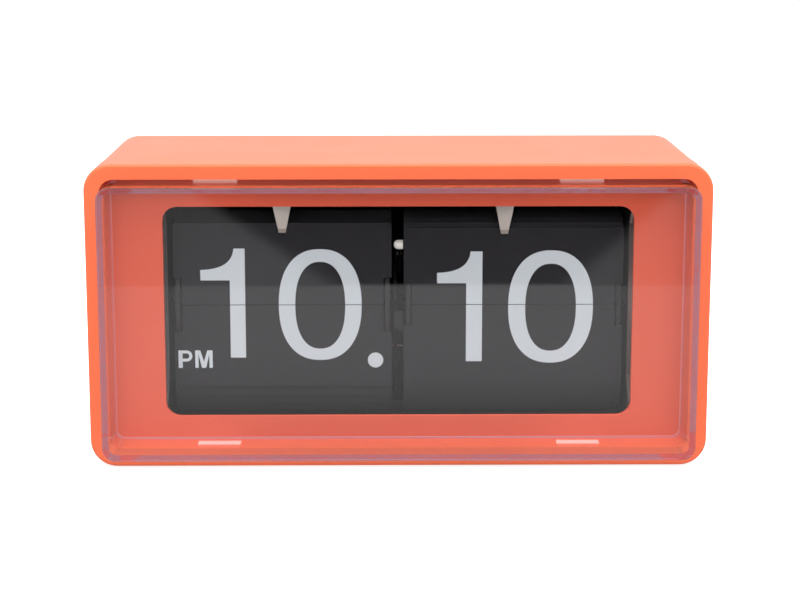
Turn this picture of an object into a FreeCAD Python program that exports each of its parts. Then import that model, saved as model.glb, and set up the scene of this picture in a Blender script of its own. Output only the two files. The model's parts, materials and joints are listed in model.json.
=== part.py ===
"""Table flip clock: hour and minute drums of falling leaves in a shallow case.

Units are millimetres. +Z is up, the dial faces -Y and +X is to the right of the dial.
The origin is the middle of the clock's box at the surface that it stands on.
Heights are given above the underside of the case and depths behind the face of the bezel;
up() and back() turn them into the frame.
"""
import FreeCAD, Part
import math
import os

os.makedirs("parts", exist_ok=True)
V = FreeCAD.Vector

# Case
CASE_W = 210.0
CASE_H = 104.0
CASE_D = 80.0
CASE_R = 9.0
WALL = 2.5
FOOT_H = 1.0
SEAM = 20.0          # depth of the seam between bezel and rear case
REAR_STEP = 0.2      # the rear case is this much smaller all round
REAR_ROUND = 1.2     # rounding of the rear case's outer edge
RIM = 5.1            # width of the bezel's rim round the cover
LEDGE = 11.0         # depth at which the dial panel rests on the bezel's ledge
PANEL_T = 2.0
POST_X = 97.5
POST_INSET_Z = 7.5
POST_R = 4.2         # screw posts of the rear case
NUT_POST_R = 3.4     # posts of the bezel that take the screws' tips
RIB_HALF = 1.2
SCREW_HEAD_D = SEAM + 10
SCREW_TIP_D = SEAM - 6
CORNERS = [(sx, h) for sx in (-1, 1) for h in (POST_INSET_Z, CASE_H - POST_INSET_Z)]
FOOT_R = 6.0
FOOT_X = 88.0

# Clear cover
LENS_PROUD = 12.5
LENS_WALL = 2.0
LENS_X = 99.2
LENS_Z = (5.4, 97.9)
LENS_R = 4.2
LATCH_X = 61.5
LATCH_HALF = 7.3
LATCH_D = (4.0, 8.0)
LATCH_TOP = 0.7      # height of the upper latches above the cover
LATCH_LOW = 0.25     # height of the lower latches below it

# Window in the dial panel
WINDOW_X = 80.15
WINDOW_Z = (14.75, 88.1)
WINDOW_R = 5.0

# Bosses behind the dial panel that carry the movement
BOSS_X = 86.0
BOSS_D = 16.0
BOSS_R = 2.6
BOSSES = [(sx, h) for sx in (-1, 1) for h in (11.0, 95.0)]

# Drums and leaves
SPLIT_Z = 52.2       # height of the line where upper and lower leaves meet
SPLIT_D = 19.6       # depth of that line
PIN_R = 14.0         # radius of the leaves' pivot holes in the discs
PACK_R = 13.55       # the waiting leaves lie a little inside the pivot circle
FLIP_T = 0.3
LEAF_LEN = 27.5
SPLIT_GAP = 0.12     # each half leaf stops this far from the split line
NOTCH_W = 2.75       # depth of the leaf's side notch round the disc
STUB_R = 0.2         # pivot stubs at the leaf's sides
AXLE_R = 1.5
HUB_R = 3.2
RUN = 0.06           # radial running clearance
HOUR = {"x": (-77.75, -2.35), "count": 24, "phase": 7.5, "lag": 7.5, "thick": 0.25,
        "disc": 16.5, "notch": 9.6, "pack_notch": 8.6, "upper": 28.85, "lower": 28.9}
MINUTE = {"x": (1.87, 77.85), "count": 60, "phase": -0.75, "lag": 4.5, "thick": 0.15,
          "disc": 15.4, "notch": 7.4, "pack_notch": 7.6, "upper": 27.05, "lower": 28.9}

# Movement frame, with plate outlines as (depth, height)
PLATE_X = 80.2
PLATE_T = 1.5
COVER_X = 90.5       # inner face of the gear cover plate
LEFT_OUTLINE = [(22, 8), (62, 8), (62, 24), (54, 60), (54, 96), (17.6, 96), (17.6, 88), (24, 80),
                (24, 26), (17.6, 18), (17.6, 8)]
RIGHT_OUTLINE = [(22, 8), (62, 8), (62, 24), (76, 34), (76, 58), (64, 70), (64, 97), (17.6, 97), (17.6, 88),
                 (24, 80), (24, 26), (17.6, 18), (17.6, 8)]
COVER_OUTLINE = [(20, 18), (62, 10), (76, 34), (76, 58), (66, 70), (66, 97), (38, 97), (20, 84)]
BAR_TOP = {"depth": (18.5, 22.5), "height": (90.0, 95.0)}
BAR_LOW = {"depth": (53.0, 57.0), "height": (9.0, 13.0)}
PILLARS = [(59, 18), (60, 94.3), (24.5, 30), (24.5, 76)]
PILLAR_R = 2.0
THREAD_R = 1.0       # thread of the plates' and pillars' screws
THREAD_LEN = 5.0
BAR_THREAD_LEN = 8.0
BRACKET_X = (-1.6, -0.4)
LEVER = (44.0, 66.0)
LEVER_X = (0.0, 0.9)
LEVER_PIN_R = 0.8
PEG = (23.5, 72.7)
PEG_R = 1.6
PEG_ROUND = 1.5

# Spring tongues
TONGUES = [(-40.0, "hour"), (36.55, "minute")]
TONGUE_T = 0.3
RIVET_H = 92.5
RIVET_R = 0.8

# Gears
BEARING = 0.03       # radial clearance of the small arbors
ARBOR_R = 1.0
SET_ARBOR_R = 1.5
DRIVE_ARBOR_R = 0.8
MODULE = 0.6
PRESSURE = math.radians(25)
BACKLASH = 0.12
TEETH_MINUTE = 56
TEETH_PINION = 14
TEETH_WHEEL = 42
TEETH_SET = 20
PLANE_A = (83.5, 86.0)
PLANE_B = (87.0, 89.5)
WHEEL_R = 12.5
WHEEL_PROUD = 2.5
WHEEL_X = (93.75, 98.25)
WHEEL_RIDGES = 48
SLOT_HALF = 11.0     # half height of the thumbwheel's slot

# Quartz drive
UNIT = {"x": (COVER_X + PLATE_T, 101.0), "depth": (36.5, 63.5), "height": (62.0, 91.5)}
UNIT_WALL = 1.2

# Battery
CELL_R = 7.25
CELL_X = (-30.0, 19.5)
CELL_D = 68.0
CELL_Z = 14.0
DOOR_X = (-33.0, 23.5)
DOOR_Z = (5.0, 24.0)
HINGE = (CASE_D - 1.0, DOOR_Z[0] + 1.3)
HOLDER_GAP = 1.6     # from the cell to the holder's outer faces
HOLDER_WALL = 1.2

# Leads, as (x, depth, height)
LEAD_R = 0.6
PLUS_ROUTE = [(23.4, 66.0, 14.0), (40.0, 66.0, 14.0), (60.0, 73.0, 18.0), (84.0, 73.0, 19.0),
              (99.0, 70.0, 22.0), (99.0, 52.0, 42.0), (99.0, 52.0, 62.0)]
MINUS_ROUTE = [(-33.8, 66.0, 14.0), (-42.0, 66.0, 14.0), (-42.0, 72.0, 26.0), (-26.0, 74.5, 28.5),
               (50.0, 74.5, 28.5), (84.0, 74.5, 16.0), (95.5, 72.0, 18.0), (95.5, 47.0, 40.0),
               (95.5, 47.0, 62.0)]

DEPTH = CASE_D + LENS_PROUD + WHEEL_PROUD
FACE_Y = LENS_PROUD - DEPTH / 2


def back(depth):
    """Y of a point this far behind the face of the bezel."""
    return FACE_Y + depth


def up(height):
    """Z of a point this far above the underside of the case."""
    return FOOT_H + height


AXLE = (SPLIT_D + FLIP_T / 2 + 0.1 + PIN_R, SPLIT_Z)


def polar(centre, radius, degrees):
    """Depth and height of a point on a circle; angles run from the rear towards the top."""
    angle = math.radians(degrees)
    return (centre[0] + radius * math.cos(angle), centre[1] + radius * math.sin(angle))


def pitch_radius(teeth):
    return MODULE * teeth / 2


INTER = polar(AXLE, pitch_radius(TEETH_MINUTE + TEETH_PINION), 15)
DRIVE = polar(INTER, pitch_radius(TEETH_WHEEL + TEETH_PINION), 100)
SET_D = CASE_D + WHEEL_PROUD - WHEEL_R
SET_ANGLE = -math.degrees(math.acos((SET_D - INTER[0]) / pitch_radius(TEETH_WHEEL + TEETH_SET)))
SETTER = polar(INTER, pitch_radius(TEETH_WHEEL + TEETH_SET), SET_ANGLE)


# ---------------------------------------------------------------- plain shapes

def save(name, shape):
    shape.exportStep("parts/" + name + ".step")


def box(x, depth, height):
    """Box from three (low, high) pairs: x, depth and height."""
    size = (x[1] - x[0], depth[1] - depth[0], height[1] - height[0])
    return Part.makeBox(*size, V(x[0], back(depth[0]), up(height[0])))


def inset(span, by):
    return (span[0] + by, span[1] - by)


def rod_x(at, radius, x):
    """Round bar along X at (depth, height)."""
    return Part.makeCylinder(radius, x[1] - x[0], V(x[0], back(at[0]), up(at[1])), V(1, 0, 0))


def rod_y(x, height, radius, depth):
    """Round bar along Y at (x, height)."""
    return Part.makeCylinder(radius, depth[1] - depth[0], V(x, back(depth[0]), up(height)), V(0, 1, 0))


def rounded_slab(x, height, radius, depth):
    """Slab with a rounded rectangular outline in the XZ plane."""
    slab = box(x, depth, height)
    edges = [e for e in slab.Edges if abs(e.tangentAt(e.FirstParameter).y) > 0.99]
    return slab.makeFillet(radius, edges)


def side_plate(points, x):
    """Plate normal to X from a list of (depth, height) corners."""
    path = [V(x[0], back(d), up(h)) for d, h in points]
    return Part.Face(Part.makePolygon(path + path[:1])).extrude(V(x[1] - x[0], 0, 0))


def fuse(shapes):
    return shapes[0].multiFuse(shapes[1:]).removeSplitter()


def screw_y(x, height, head_depth, tip_depth, shank_r, head_r, head_h):
    """Pan-head screw driven from the rear towards the dial."""
    shank = rod_y(x, height, shank_r, (tip_depth, head_depth + head_h / 2))
    return shank.fuse(rod_y(x, height, head_r, (head_depth, head_depth + head_h))).removeSplitter()


def screw_x(at, head_x, tip_x, shank_r, head_r, head_h):
    """Pan-head screw along X; its head stands on head_x, away from the tip."""
    out = 1 if head_x > tip_x else -1
    head = rod_x(at, head_r, sorted((head_x, head_x + out * head_h)))
    shank = rod_x(at, shank_r, sorted((tip_x, head_x + out * head_h / 2)))
    return shank.fuse(head).removeSplitter()


# ---------------------------------------------------------------- case

def front_bezel():
    """Orange bezel: rim, ledge for the panel and four screw posts."""
    half = CASE_W / 2
    outer = rounded_slab((-half, half), (0, CASE_H), CASE_R, (0, SEAM))
    front = [e for e in outer.Edges if abs(e.BoundBox.YMax - back(0)) < 1e-6]
    outer = outer.makeFillet(1.0, [e for e in front if e.BoundBox.YLength < 1e-6])
    mouth = rounded_slab((RIM - half, half - RIM), (RIM, CASE_H - RIM), LENS_R + 0.6, (-1, SEAM))
    cavity = rounded_slab((WALL - half, half - WALL), (WALL, CASE_H - WALL),
                          CASE_R - WALL, (LEDGE, SEAM + 1))
    shell = outer.cut(mouth).cut(cavity)
    rear_of_panel = LEDGE + PANEL_T
    for sx, h in CORNERS:
        x = sx * POST_X
        rib = box(sorted((x, sx * (half - 1))), (rear_of_panel, SEAM), (h - RIB_HALF, h + RIB_HALF))
        shell = shell.fuse(rod_y(x, h, NUT_POST_R, (rear_of_panel, SEAM))).fuse(rib)
    for sx, h in CORNERS:
        shell = shell.cut(rod_y(sx * POST_X, h, 1.2, (SCREW_TIP_D, SEAM + 1)))
    return shell.removeSplitter()


def dial_panel():
    """Coral panel with its rounded window and four bosses for the movement."""
    half = CASE_W / 2 - WALL - 0.3
    low = WALL + 0.3
    panel = rounded_slab((-half, half), (low, CASE_H - low), CASE_R - WALL - 0.3,
                         (LEDGE, LEDGE + PANEL_T))
    window = rounded_slab((-WINDOW_X, WINDOW_X), WINDOW_Z, WINDOW_R, (LEDGE - 1, LEDGE + PANEL_T + 1))
    panel = panel.cut(window)
    for sx, h in BOSSES:
        panel = panel.fuse(rod_y(sx * BOSS_X, h, BOSS_R, (LEDGE + PANEL_T - 0.5, BOSS_D)))
        panel = panel.cut(rod_y(sx * BOSS_X, h, 1.1, (BOSS_D - 4, BOSS_D + 1)))
    return panel.removeSplitter()


def lens_cover():
    """Clear five-sided cover with four latch tabs behind the bezel's rim."""
    x = (-LENS_X, LENS_X)
    shell = rounded_slab(x, LENS_Z, LENS_R, (-LENS_PROUD, LEDGE))
    front = [e for e in shell.Edges if e.BoundBox.YLength < 1e-6
             and abs(e.BoundBox.YMax - back(-LENS_PROUD)) < 1e-6]
    shell = shell.makeFillet(0.5, front)
    inner_x = (LENS_WALL - LENS_X, LENS_X - LENS_WALL)
    inner_z = (LENS_Z[0] + LENS_WALL, LENS_Z[1] - LENS_WALL)
    hollow = rounded_slab(inner_x, inner_z, LENS_R - 1.5, (LENS_WALL - LENS_PROUD, LEDGE + 1))
    return shell.cut(hollow)


def rear_case():
    """Orange rear shell with posts, battery opening and thumbwheel slot."""
    half = CASE_W / 2 - REAR_STEP
    height = (REAR_STEP, CASE_H - REAR_STEP)
    outer = rounded_slab((-half, half), height, CASE_R - REAR_STEP, (SEAM, CASE_D))
    rear = [e for e in outer.Edges if e.BoundBox.YLength < 1e-6
            and abs(e.BoundBox.YMax - back(CASE_D)) < 1e-6]
    outer = outer.makeFillet(REAR_ROUND, rear)
    inner = rounded_slab((WALL - half, half - WALL), (height[0] + WALL, height[1] - WALL),
                         CASE_R - REAR_STEP - WALL, (SEAM - 1, CASE_D - WALL))
    shell = outer.cut(inner)
    for sx, h in CORNERS:
        x = sx * POST_X
        rib = box(sorted((x, sx * (half - 1))), (SEAM, CASE_D - 1), (h - RIB_HALF, h + RIB_HALF))
        shell = shell.fuse(rod_y(x, h, POST_R, (SEAM, CASE_D - 1))).fuse(rib)
    for sx, h in CORNERS:
        x = sx * POST_X
        shell = shell.cut(rod_y(x, h, 1.3, (SEAM - 1, CASE_D)))
        shell = shell.cut(rod_y(x, h, 2.8, (SCREW_HEAD_D, CASE_D + 1)))
    opening = box(DOOR_X, (CASE_D - WALL - 1, CASE_D + 1), DOOR_Z)
    finger = rod_y((DOOR_X[0] + DOOR_X[1]) / 2, DOOR_Z[1], 7.0, (CASE_D - 1.2, CASE_D + 1))
    wheel_slot = box((WHEEL_X[0] - 0.5, WHEEL_X[1] + 0.5), (CASE_D - WALL - 1, CASE_D + 1),
                     (SETTER[1] - SLOT_HALF, SETTER[1] + SLOT_HALF))
    hinge_hole = rod_x(HINGE, 0.65, (DOOR_X[0] - 1.2, DOOR_X[1] + 1.2))
    return shell.cut(opening.multiFuse([finger, wheel_slot, hinge_hole])).removeSplitter()


def rubber_feet():
    feet = []
    for x in (-FOOT_X, FOOT_X):
        for depth in (SEAM + 9, CASE_D - 10):
            at = V(x, back(depth), 0)
            feet.append(Part.makeCylinder(FOOT_R, FOOT_H + REAR_STEP, at, V(0, 0, 1)))
    return Part.makeCompound(feet)


def case_screws():
    return Part.makeCompound([screw_y(sx * POST_X, h, SCREW_HEAD_D, SCREW_TIP_D, 1.2, 2.5, 1.8)
                              for sx, h in CORNERS])


def lens_latches():
    """Four thin tabs that hold the cover behind the bezel's rim."""
    tabs = []
    for x in (-LATCH_X, LATCH_X):
        for height in ((LENS_Z[1], LENS_Z[1] + LATCH_TOP), (LENS_Z[0] - LATCH_LOW, LENS_Z[0])):
            tabs.append(box((x - LATCH_HALF, x + LATCH_HALF), LATCH_D, height))
    return Part.makeCompound(tabs)


# ---------------------------------------------------------------- battery

def battery_door():
    """Door that tips open about pivots at its lower corners."""
    x = (DOOR_X[0] + 0.3, DOOR_X[1] - 0.3)
    plate = box(x, (CASE_D - 2, CASE_D), (HINGE[1], DOOR_Z[1] - 0.3))
    round_foot = rod_x(HINGE, 1.0, x)
    pivots = rod_x(HINGE, 0.6, (DOOR_X[0] - 0.9, DOOR_X[1] + 0.9))
    return fuse([plate, round_foot, pivots])


def battery_holder():
    """Cradle round the cell, open to the rear."""
    x = (CELL_X[0] - 3.4, CELL_X[1] + 3.4)
    depth = (CELL_D - CELL_R - HOLDER_GAP, CASE_D - WALL)
    height = (CELL_Z - CELL_R - HOLDER_GAP, CELL_Z + CELL_R + HOLDER_GAP)
    room = box(inset(x, HOLDER_WALL), (depth[0] + HOLDER_WALL, depth[1] + 1), inset(height, HOLDER_WALL))
    return box(x, depth, height).cut(room)


def battery_cell():
    can = rod_x((CELL_D, CELL_Z), CELL_R, CELL_X)
    nub = rod_x((CELL_D, CELL_Z), 2.75, (CELL_X[1] - 0.5, CELL_X[1] + 1.2))
    return can.fuse(nub).removeSplitter()


def contact_plate():
    """Flat contact at the cell's positive end."""
    end = CELL_X[1] + 2.2
    return box((end - 0.4, end), (CELL_D - 5, CELL_D + 5), (CELL_Z - 5, CELL_Z + 5))


def contact_spring():
    """Bent strip that presses on the cell's flat end."""
    end = CELL_X[0] - 2.2
    strip = 0.4
    zigzag = [(end, -6), (end + strip, -6), (end + strip, 3.6), (end + 1.8, -0.4), (end + 1.8, -4),
              (end + 2.2, -4), (end + 2.2, -0.2), (end + strip, 5), (end + strip, 6), (end, 6)]
    path = [V(x, back(CELL_D - 3), up(CELL_Z + h)) for x, h in zigzag]
    return Part.Face(Part.makePolygon(path + path[:1])).extrude(V(0, 6, 0))


# ---------------------------------------------------------------- movement frame

def flanged_plate(outline, sx):
    """Side plate with two front flanges that screw to the dial panel."""
    x = sorted((sx * PLATE_X, sx * (PLATE_X + PLATE_T)))
    plate = side_plate(outline, x)
    for _, h in BOSSES:
        flange_x = sorted((sx * PLATE_X, sx * (BOSS_X + 3)))
        flange = box(flange_x, (BOSS_D, BOSS_D + 1.6), (h - 3.5, h + 3.5))
        link = box(x, (BOSS_D, BOSS_D + 2.6), (h - 3.0, min(h + 3.5, 96)))
        plate = plate.fuse(flange).fuse(link)
        plate = plate.cut(rod_y(sx * BOSS_X, h, 1.3, (BOSS_D - 1, BOSS_D + 3)))
    for bar in (BAR_TOP, BAR_LOW):
        at = bar_centre(bar)
        plate = plate.cut(rod_x(at, THREAD_R, (x[0] - 1, x[1] + 1)))
    return plate.removeSplitter()


def bar_centre(bar):
    return (sum(bar["depth"]) / 2, sum(bar["height"]) / 2)


def left_side_plate():
    """Plate at the hour drum's outer end; it holds the axle."""
    plate = flanged_plate(LEFT_OUTLINE, -1)
    return plate.cut(rod_x(AXLE, AXLE_R, (-90, -70)))


def right_side_plate():
    """Plate between the minute drum and the gears, with bearings for the arbors."""
    plate = flanged_plate(RIGHT_OUTLINE, 1)
    plate = plate.cut(rod_x(AXLE, HUB_R + RUN, (75, 90)))
    plate = plate.cut(rod_x(INTER, ARBOR_R + BEARING, (75, 90)))
    return plate.cut(rod_x(SETTER, SET_ARBOR_R + BEARING, (75, 90)))


def gear_cover_plate():
    """Outer plate of the gear train."""
    plate = side_plate(COVER_OUTLINE, (COVER_X, COVER_X + PLATE_T))
    holes = [rod_x(AXLE, AXLE_R, (80, 95)), rod_x(INTER, ARBOR_R + BEARING, (80, 95)),
             rod_x(SETTER, SET_ARBOR_R + BEARING, (80, 95)), rod_x(DRIVE, 3.0, (80, 95))]
    holes += [rod_x(at, THREAD_R, (80, 95)) for at in PILLARS]
    return plate.cut(holes[0].multiFuse(holes[1:]))


def plate_pillars():
    """Four pillars between the right plate and the gear cover plate."""
    x = (PLATE_X + PLATE_T, COVER_X)
    thread = (COVER_X - THREAD_LEN, COVER_X + 1)
    return Part.makeCompound([rod_x(at, PILLAR_R, x).cut(rod_x(at, THREAD_R, thread))
                              for at in PILLARS])


def pillar_screws():
    outside = COVER_X + PLATE_T
    return Part.makeCompound([screw_x(at, outside, COVER_X - THREAD_LEN, THREAD_R, 1.9, 1.1)
                              for at in PILLARS])


def cross_bar(bar):
    """Square bar between the side plates, drilled at both ends."""
    at = bar_centre(bar)
    solid = box((-PLATE_X, PLATE_X), bar["depth"], bar["height"])
    for sx in (-1, 1):
        drilled = sorted((sx * (PLATE_X - BAR_THREAD_LEN), sx * (PLATE_X + 1)))
        solid = solid.cut(rod_x(at, THREAD_R, drilled))
    return solid


def top_cross_bar():
    """Bar over the drums that carries the spring tongues."""
    bar = cross_bar(BAR_TOP)
    for x, _ in TONGUES:
        front = BAR_TOP["depth"][0]
        bar = bar.cut(rod_y(x, RIVET_H, RIVET_R, (front - 1, front + 2.5)))
    return bar


def frame_screws():
    outside = PLATE_X + PLATE_T
    tip = PLATE_X - BAR_THREAD_LEN
    return Part.makeCompound([screw_x(bar_centre(bar), sx * outside, sx * tip, THREAD_R, 2.0, 1.2)
                              for bar in (BAR_TOP, BAR_LOW) for sx in (-1, 1)])


def movement_screws():
    return Part.makeCompound([screw_y(sx * BOSS_X, h, BOSS_D + 1.6, BOSS_D - 4, 1.1, 2.0, 1.2)
                              for sx, h in BOSSES])


def centre_bracket():
    """Upright arm in the gap: steadies the axle, carries the lever and the front stop tab."""
    post = side_plate([(53, 13), (57, 13), (37, 55), (31, 50), (31, 46)], BRACKET_X)
    ring = rod_x(AXLE, 4.0, BRACKET_X)
    arm = side_plate([(32, 55), (37, 53), (46.5, 65), (43, 68)], BRACKET_X)
    front = side_plate([(32, 44), (32, 50), (22, 49.4), (22, 43)], BRACKET_X)
    tab = box((BRACKET_X[0], 1.4), (21.2, 22.4), (43.0, 49.4))
    body = fuse([post, ring, arm, front, tab])
    body = body.cut(rod_x(AXLE, AXLE_R, (-3, 3)))
    return body.cut(rod_x(LEVER, LEVER_PIN_R, (-3, 3)))


def lever_pin():
    """Pin on which the transfer lever rocks."""
    return rod_x(LEVER, LEVER_PIN_R, (BRACKET_X[0], LEVER_X[1] + 0.3))


def drum_axle():
    """Fixed rod through both drums."""
    return rod_x(AXLE, AXLE_R, (-84.0, 94.0))


def axle_clips():
    """Two retaining rings on the axle's ends."""
    clips = []
    for x in ((-82.5, -81.7), (COVER_X + PLATE_T, COVER_X + PLATE_T + 0.8)):
        clips.append(rod_x(AXLE, 3.0, x).cut(rod_x(AXLE, AXLE_R, (x[0] - 1, x[1] + 1))))
    return Part.makeCompound(clips)


def tongue(x, tip):
    """Spring strip that narrows downwards; its end leans on the upper leaf."""
    rear = BAR_TOP["depth"][0]
    front = rear - TONGUE_T
    side = [(front, 95), (rear, 95), (rear, 84), (SPLIT_D + 0.05, tip + 1.4),
            (SPLIT_D - 0.35, tip), (SPLIT_D - 0.65, tip), (SPLIT_D - 0.25, tip + 1.3), (front, 84)]
    profile = side_plate(side, (x - 6, x + 6))
    face = [(x - 3.5, 95), (x + 3.5, 95), (x + 3.3, 88), (x + 1.4, tip + 1), (x + 1.2, tip),
            (x - 1.2, tip), (x - 1.4, tip + 1), (x - 3.3, 88)]
    path = [V(px, back(0), up(h)) for px, h in face]
    taper = Part.Face(Part.makePolygon(path + path[:1])).extrude(V(0, 40, 0))
    return profile.common(taper).cut(rod_y(x, RIVET_H, RIVET_R, (0, 30)))


def tongue_rivets():
    front = BAR_TOP["depth"][0] - TONGUE_T
    rivets = []
    for x, _ in TONGUES:
        head = rod_y(x, RIVET_H, 1.5, (front - 0.7, front))
        rivets.append(head.fuse(rod_y(x, RIVET_H, RIVET_R, (front - 0.2, front + 2.5))).removeSplitter())
    return Part.makeCompound(rivets)


def transfer_lever():
    """Rocking lever that moves the hour drum on; its front end carries the peg."""
    arm = side_plate([(45.5, 64.3), (45.5, 67.7), (25.0, 73.6), (22.6, 73.8), (22.6, 71.8), (25, 71.4)],
                     LEVER_X)
    tail = side_plate([(42.8, 66), (45.2, 66), (40.2, 59.5), (39.0, 60.2)], LEVER_X)
    boss = rod_x(LEVER, 2.2, LEVER_X)
    return fuse([arm, tail, boss]).cut(rod_x(LEVER, LEVER_PIN_R + BEARING, (-1, 2)))


def transfer_peg():
    """White peg in the gap between the drums, with one rounded end."""
    peg = rod_x(PEG, PEG_R, (-1.6, 1.6))
    end = [e for e in peg.Edges if e.BoundBox.XLength < 1e-6 and e.BoundBox.XMax < 0]
    peg = peg.makeFillet(PEG_ROUND, end)
    return peg.cut(transfer_lever())


# ---------------------------------------------------------------- drums and leaves

def spool(drum, hub_x):
    """Tube with two drilled discs that hold the leaves' pivots."""
    left, right = drum["x"]
    discs = []
    for x in ((left + 0.75, left + 2.25), (right - 2.25, right - 0.75)):
        disc = rod_x(AXLE, drum["disc"], x)
        holes = []
        for k in range(drum["count"]):
            angle = 180 - drum["phase"] - k * 360 / drum["count"]
            holes.append(rod_x(polar(AXLE, PIN_R, angle), 0.45, (x[0] - 1, x[1] + 1)))
        discs.append(disc.cut(Part.makeCompound(holes)))
    hub = rod_x(AXLE, HUB_R, hub_x)
    body = fuse([hub] + discs)
    return body.cut(rod_x(AXLE, AXLE_R + RUN, (-90, 95)))


def hour_spool():
    return spool(HOUR, (HOUR["x"][0] - 1.6, HOUR["x"][1] - 0.3))


def minute_spool():
    return spool(MINUTE, (MINUTE["x"][0] + 0.3, PLANE_A[1]))


def leaf_outline(drum, start, end, notch_end):
    """Upright leaf in its own plane: z runs along it from the pivot, x across the drum."""
    left, right = drum["x"]
    r = 1.2
    k = r * (1 - math.sqrt(0.5))
    corners = [V(left + NOTCH_W, 0, start), V(left + NOTCH_W, 0, notch_end), V(left, 0, notch_end),
               V(left, 0, end - r)]
    top_left = Part.Arc(V(left, 0, end - r), V(left + k, 0, end - k), V(left + r, 0, end)).toShape()
    top_right = Part.Arc(V(right - r, 0, end), V(right - k, 0, end - k), V(right, 0, end - r)).toShape()
    down = [V(right, 0, end - r), V(right, 0, notch_end), V(right - NOTCH_W, 0, notch_end),
            V(right - NOTCH_W, 0, start)]
    lines = [Part.makeLine(a, b) for a, b in zip(corners, corners[1:])]
    lines += [top_left, Part.makeLine(V(left + r, 0, end), V(right - r, 0, end)), top_right]
    lines += [Part.makeLine(a, b) for a, b in zip(down, down[1:])]
    lines.append(Part.makeLine(down[-1], corners[0]))
    return Part.Face(Part.Wire(lines))


def leaf(drum, start, end, notch_end, thick, stub_z):
    """Leaf centred on y = 0 with a pivot stub at each side."""
    left, right = drum["x"]
    plate = leaf_outline(drum, start, end, notch_end).extrude(V(0, thick, 0))
    plate.translate(V(0, -thick / 2, 0))
    for x in (left + NOTCH_W - 0.35, right - NOTCH_W - 0.05):
        stub = Part.makeCylinder(STUB_R, 0.4, V(x, 0, stub_z), V(1, 0, 0))
        plate = plate.fuse(stub)
    return plate


def place(shape, lean, at):
    """Lean a leaf backwards by this many degrees and set its pivot at (depth, height)."""
    shape.rotate(V(0, 0, 0), V(1, 0, 0), -lean)
    shape.translate(V(0, back(at[0]), up(at[1])))
    return shape


def front_leaf(drum, upper):
    """Leaf at the dial, above or below the split line."""
    stub_z = max(PIN_R * math.sin(math.radians(drum["phase"])), 0.5)
    end = drum["upper"] if upper else drum["lower"]
    shape = leaf(drum, SPLIT_GAP, end, drum["notch"], FLIP_T, stub_z)
    return place(shape, 0 if upper else 180, (SPLIT_D + 0.1 + FLIP_T / 2, SPLIT_Z))


def lean_of(drum, angle):
    """Fan of the waiting leaves: they turn with the drum and then hang down."""
    fanned = angle - drum["lag"]
    if angle <= 180:
        return fanned
    hang = min((angle - 180) / 90, 1.0)
    return (180 - drum["lag"]) + drum["lag"] * hang


def waiting_leaf(drum, index):
    """Leaf number index behind the front upper leaf, counted over the top."""
    angle = drum["phase"] + index * 360 / drum["count"]
    shape = leaf(drum, 0.3, LEAF_LEN, drum["pack_notch"], drum["thick"], 0.45)
    return place(shape, lean_of(drum, angle), polar(AXLE, PACK_R, 180 - angle))


def leaf_pack(drum):
    """All leaves except the two front ones and the one that waits next."""
    return Part.makeCompound([waiting_leaf(drum, k) for k in range(2, drum["count"] - 1)])


# ---------------------------------------------------------------- gears

def gear_outline(centre, teeth, phase, x):
    """Involute outline with a tooth centred at the phase angle, in degrees."""
    rp = pitch_radius(teeth)
    rb = rp * math.cos(PRESSURE)
    tip = rp + 0.9 * MODULE
    root = rp - 1.25 * MODULE
    half = (math.pi * MODULE / 2 - BACKLASH / 2) / (2 * rp)
    inv_pitch = math.tan(PRESSURE) - PRESSURE
    start = max(rb, root)
    radii = [start + (tip - start) * k / 4 for k in range(5)]
    flank = []
    for r in radii:
        roll = math.acos(min(rb / r, 1.0))
        flank.append((r, half + inv_pitch - (math.tan(roll) - roll)))
    if root < rb:
        flank.insert(0, (root, flank[0][1]))
    points = []
    for k in range(teeth):
        middle = math.radians(phase) + 2 * math.pi * k / teeth
        tooth = [(r, middle - a) for r, a in flank] + [(r, middle + a) for r, a in reversed(flank)]
        points += [(centre[0] + r * math.cos(a), centre[1] + r * math.sin(a)) for r, a in tooth]
    return side_plate(points, x)


def meshing_phase(centre, teeth, phase, other, other_teeth):
    """Phase of the other gear so that its gaps take this gear's teeth."""
    line = math.degrees(math.atan2(other[1] - centre[1], other[0] - centre[0]))
    shift = (phase - line) * teeth + 180.0
    return line + 180.0 - shift / other_teeth


PHASE_PINION = meshing_phase(AXLE, TEETH_MINUTE, 0, INTER, TEETH_PINION)
PHASE_DRIVE = meshing_phase(INTER, TEETH_WHEEL, 0, DRIVE, TEETH_PINION)
PHASE_SET = meshing_phase(INTER, TEETH_WHEEL, 0, SETTER, TEETH_SET)


def minute_gear():
    """Gear pressed on the minute spool."""
    return gear_outline(AXLE, TEETH_MINUTE, 0, PLANE_A).cut(rod_x(AXLE, HUB_R, (80, 95)))


def intermediate_pinion():
    """Pinion cut on its own arbor."""
    pinion = gear_outline(INTER, TEETH_PINION, PHASE_PINION, PLANE_A)
    return pinion.fuse(rod_x(INTER, ARBOR_R, (PLATE_X + 0.2, COVER_X + PLATE_T - 0.2)))


def intermediate_wheel():
    wheel = gear_outline(INTER, TEETH_WHEEL, 0, PLANE_B)
    for k in range(5):
        wheel = wheel.cut(rod_x(polar(INTER, 7.0, 72 * k), 2.4, (85, 92)))
    return wheel.cut(rod_x(INTER, ARBOR_R, (85, 92)))


def drive_pinion():
    """Output pinion of the quartz drive."""
    pinion = gear_outline(DRIVE, TEETH_PINION, PHASE_DRIVE, PLANE_B)
    return pinion.fuse(rod_x(DRIVE, DRIVE_ARBOR_R, (PLANE_B[0] - 0.5, 94.0)))


def set_gear():
    """Gear of the time-set wheel, cut on its arbor."""
    gear = gear_outline(SETTER, TEETH_SET, PHASE_SET, PLANE_B)
    return gear.fuse(rod_x(SETTER, SET_ARBOR_R, (PLATE_X + 0.2, WHEEL_X[1] + 1.2)))


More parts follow.
